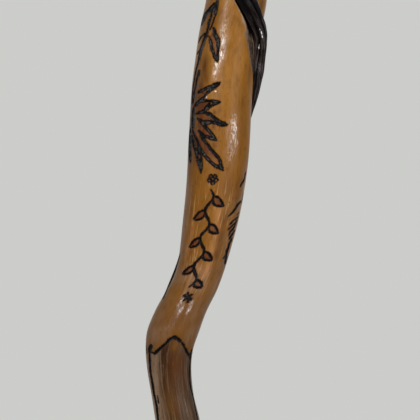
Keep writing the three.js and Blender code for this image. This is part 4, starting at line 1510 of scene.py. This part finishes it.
def rubber_look():
    look, colour = plain_look(
        "moulded_rubber", (RUBBER, RUBBER_WORN, (0.45, 0.7, 0, 0.6)), (140, 5, 0.6), (0.62, 0.82),
        (2600, 2, 0.5), (0.3, 0.0002))
    look.set(Base_Color=look.layered(colour, (SOLE_DUST, look.part(look.place(), "Z"), 0.0, 0.012, 0.55, 0)))
    return look.material


brass = metal_look("satin_brass", BRASS, BRASS_DULL, 700, 0.26)
steel = metal_look("plain_steel", STEEL, STEEL_DULL, 900, 0.3)
peg_wood = bare_wood_look()

make_shaft(shaft_look())
make_vine(vine_look())
make_knob(turned_wood_look())
make_collar(brass)
make_stud(steel)
make_ferrule(brass)
make_pin(brass)
make_washer(steel)
make_tip(rubber_look())
for peg_place, peg_share in PEG_PLACE_SHARES.items():
    make_peg(peg_place, peg_share, peg_wood)


# Stage, light and camera

FLOOR_SIZE = 6.0
FLOOR_DARK = linear(204, 204, 202)
FLOOR_LIGHT = linear(212, 212, 210)
FLOOR_CLEAR = 0.35
FLOOR_FADE = 1.3
BACKDROP_COLOUR = linear(204, 205, 202)
SKY_COLOUR = (0.93, 0.97, 1.0, 1)
SKY_LIGHT = 0.34

# Each lamp's name, place, aim, width, height, power, and roll in degrees
LAMPS = [
    ("left_window", (-0.58, -1.05, 0.945), (0, 0, 0.77), 0.8, 0.09, 3.8, 0),
    ("right_window", (0.97, -0.73, 0.75), (0, 0, 0.75), 0.75, 0.14, 3.4, 0),
    ("high_window", (-0.19, -1.08, 1.05), (0, 0, 0.63), 0.8, 0.32, 4.8, -28),
    ("low_window", (0.6, -1.0, 0.63), (0, 0, 0.62), 0.65, 0.2, 2.4, -33),
    ("key", (-0.7, -1.0, 2.3), (0, 0, CAMERA_HEIGHT), 1.2, 1.2, 3, 0),
    ("back", (0.5, 1.4, 1.6), (0, 0, CAMERA_HEIGHT), 1.2, 1.2, 12, 0),
]


def camera_and_mirror_rays(nodes):
    """1 for what the camera sees straight, in a mirror or through glass, and 0 for what only lights."""
    path = nodes.node("ShaderNodeLightPath").outputs
    return nodes.math("MAXIMUM", path["Is Camera Ray"], path["Is Glossy Ray"], path["Is Transmission Ray"])


def make_floor():
    """A pale floor that takes the shadow and fades into the backdrop further out."""
    mesh = bpy.data.meshes.new("floor")
    half = FLOOR_SIZE / 2
    corners = [(-half, -half, 0), (half, -half, 0), (half, half, 0), (-half, half, 0)]
    mesh.from_pydata(corners, [], [(0, 1, 2, 3)])
    floor = bpy.data.objects.new("floor", mesh)
    bpy.context.scene.collection.objects.link(floor)
    look = Look("pale_floor")
    look.set(Base_Color=look.mix(look.noise(look.place(), 6, 3, 0.5), FLOOR_DARK, FLOOR_LIGHT), Roughness=0.8)
    away = look.vector("LENGTH", look.place(), output="Value")
    fade = look.times(look.range(away, FLOOR_CLEAR, FLOOR_FADE), camera_and_mirror_rays(look))
    plain = look.node("ShaderNodeEmission", {"Color": BACKDROP_COLOUR})
    blend = look.node("ShaderNodeMixShader", {0: fade, 1: look.shader.outputs[0], 2: plain.outputs[0]})
    look.feed(look.tree.nodes["Material Output"].inputs["Surface"], blend.outputs[0])
    mesh.materials.append(look.material)


def make_world():
    """Plain pale surroundings, with a softer light of their own."""
    world = bpy.data.worlds.new("studio")
    bpy.context.scene.world = world
    world.use_nodes = True
    nodes = Nodes(world.node_tree)
    nodes.tree.nodes.clear()
    light = nodes.node("ShaderNodeBackground", {"Color": SKY_COLOUR, "Strength": SKY_LIGHT})
    backdrop = nodes.node("ShaderNodeBackground", {"Color": BACKDROP_COLOUR})
    choice = nodes.node("ShaderNodeMixShader", {
        0: camera_and_mirror_rays(nodes), 1: light.outputs[0], 2: backdrop.outputs[0]})
    nodes.node("ShaderNodeOutputWorld", {"Surface": choice.outputs[0]})


def make_lamp(name, place, aim, width, height, power, roll):
    lamp = bpy.data.lights.new(name, "AREA")
    lamp.shape = "RECTANGLE"
    lamp.size = width
    lamp.size_y = height
    lamp.energy = power
    holder = bpy.data.objects.new(name, lamp)
    holder.location = place
    facing = (Vector(aim) - Vector(place)).to_track_quat("-Z", "Y")
    holder.rotation_euler = (facing @ Quaternion((0, 0, 1), math.radians(roll))).to_euler()
    bpy.context.scene.collection.objects.link(holder)


def make_camera():
    data = bpy.data.cameras.new("photo_camera")
    data.sensor_width = CAMERA_SENSOR / MM
    data.lens = data.sensor_width * CAMERA_DISTANCE / (2 * PHOTO_MIDDLE * PIXEL)
    camera = bpy.data.objects.new("photo_camera", data)
    camera.location = (CAMERA_SIDE, -CAMERA_DISTANCE, CAMERA_HEIGHT)
    camera.rotation_euler = (math.pi / 2, 0, 0)
    bpy.context.scene.collection.objects.link(camera)
    bpy.context.scene.camera = camera


make_floor()
make_world()
for lamp in LAMPS:
    make_lamp(*lamp)
make_camera()
bpy.context.scene.view_settings.view_transform = "Standard"
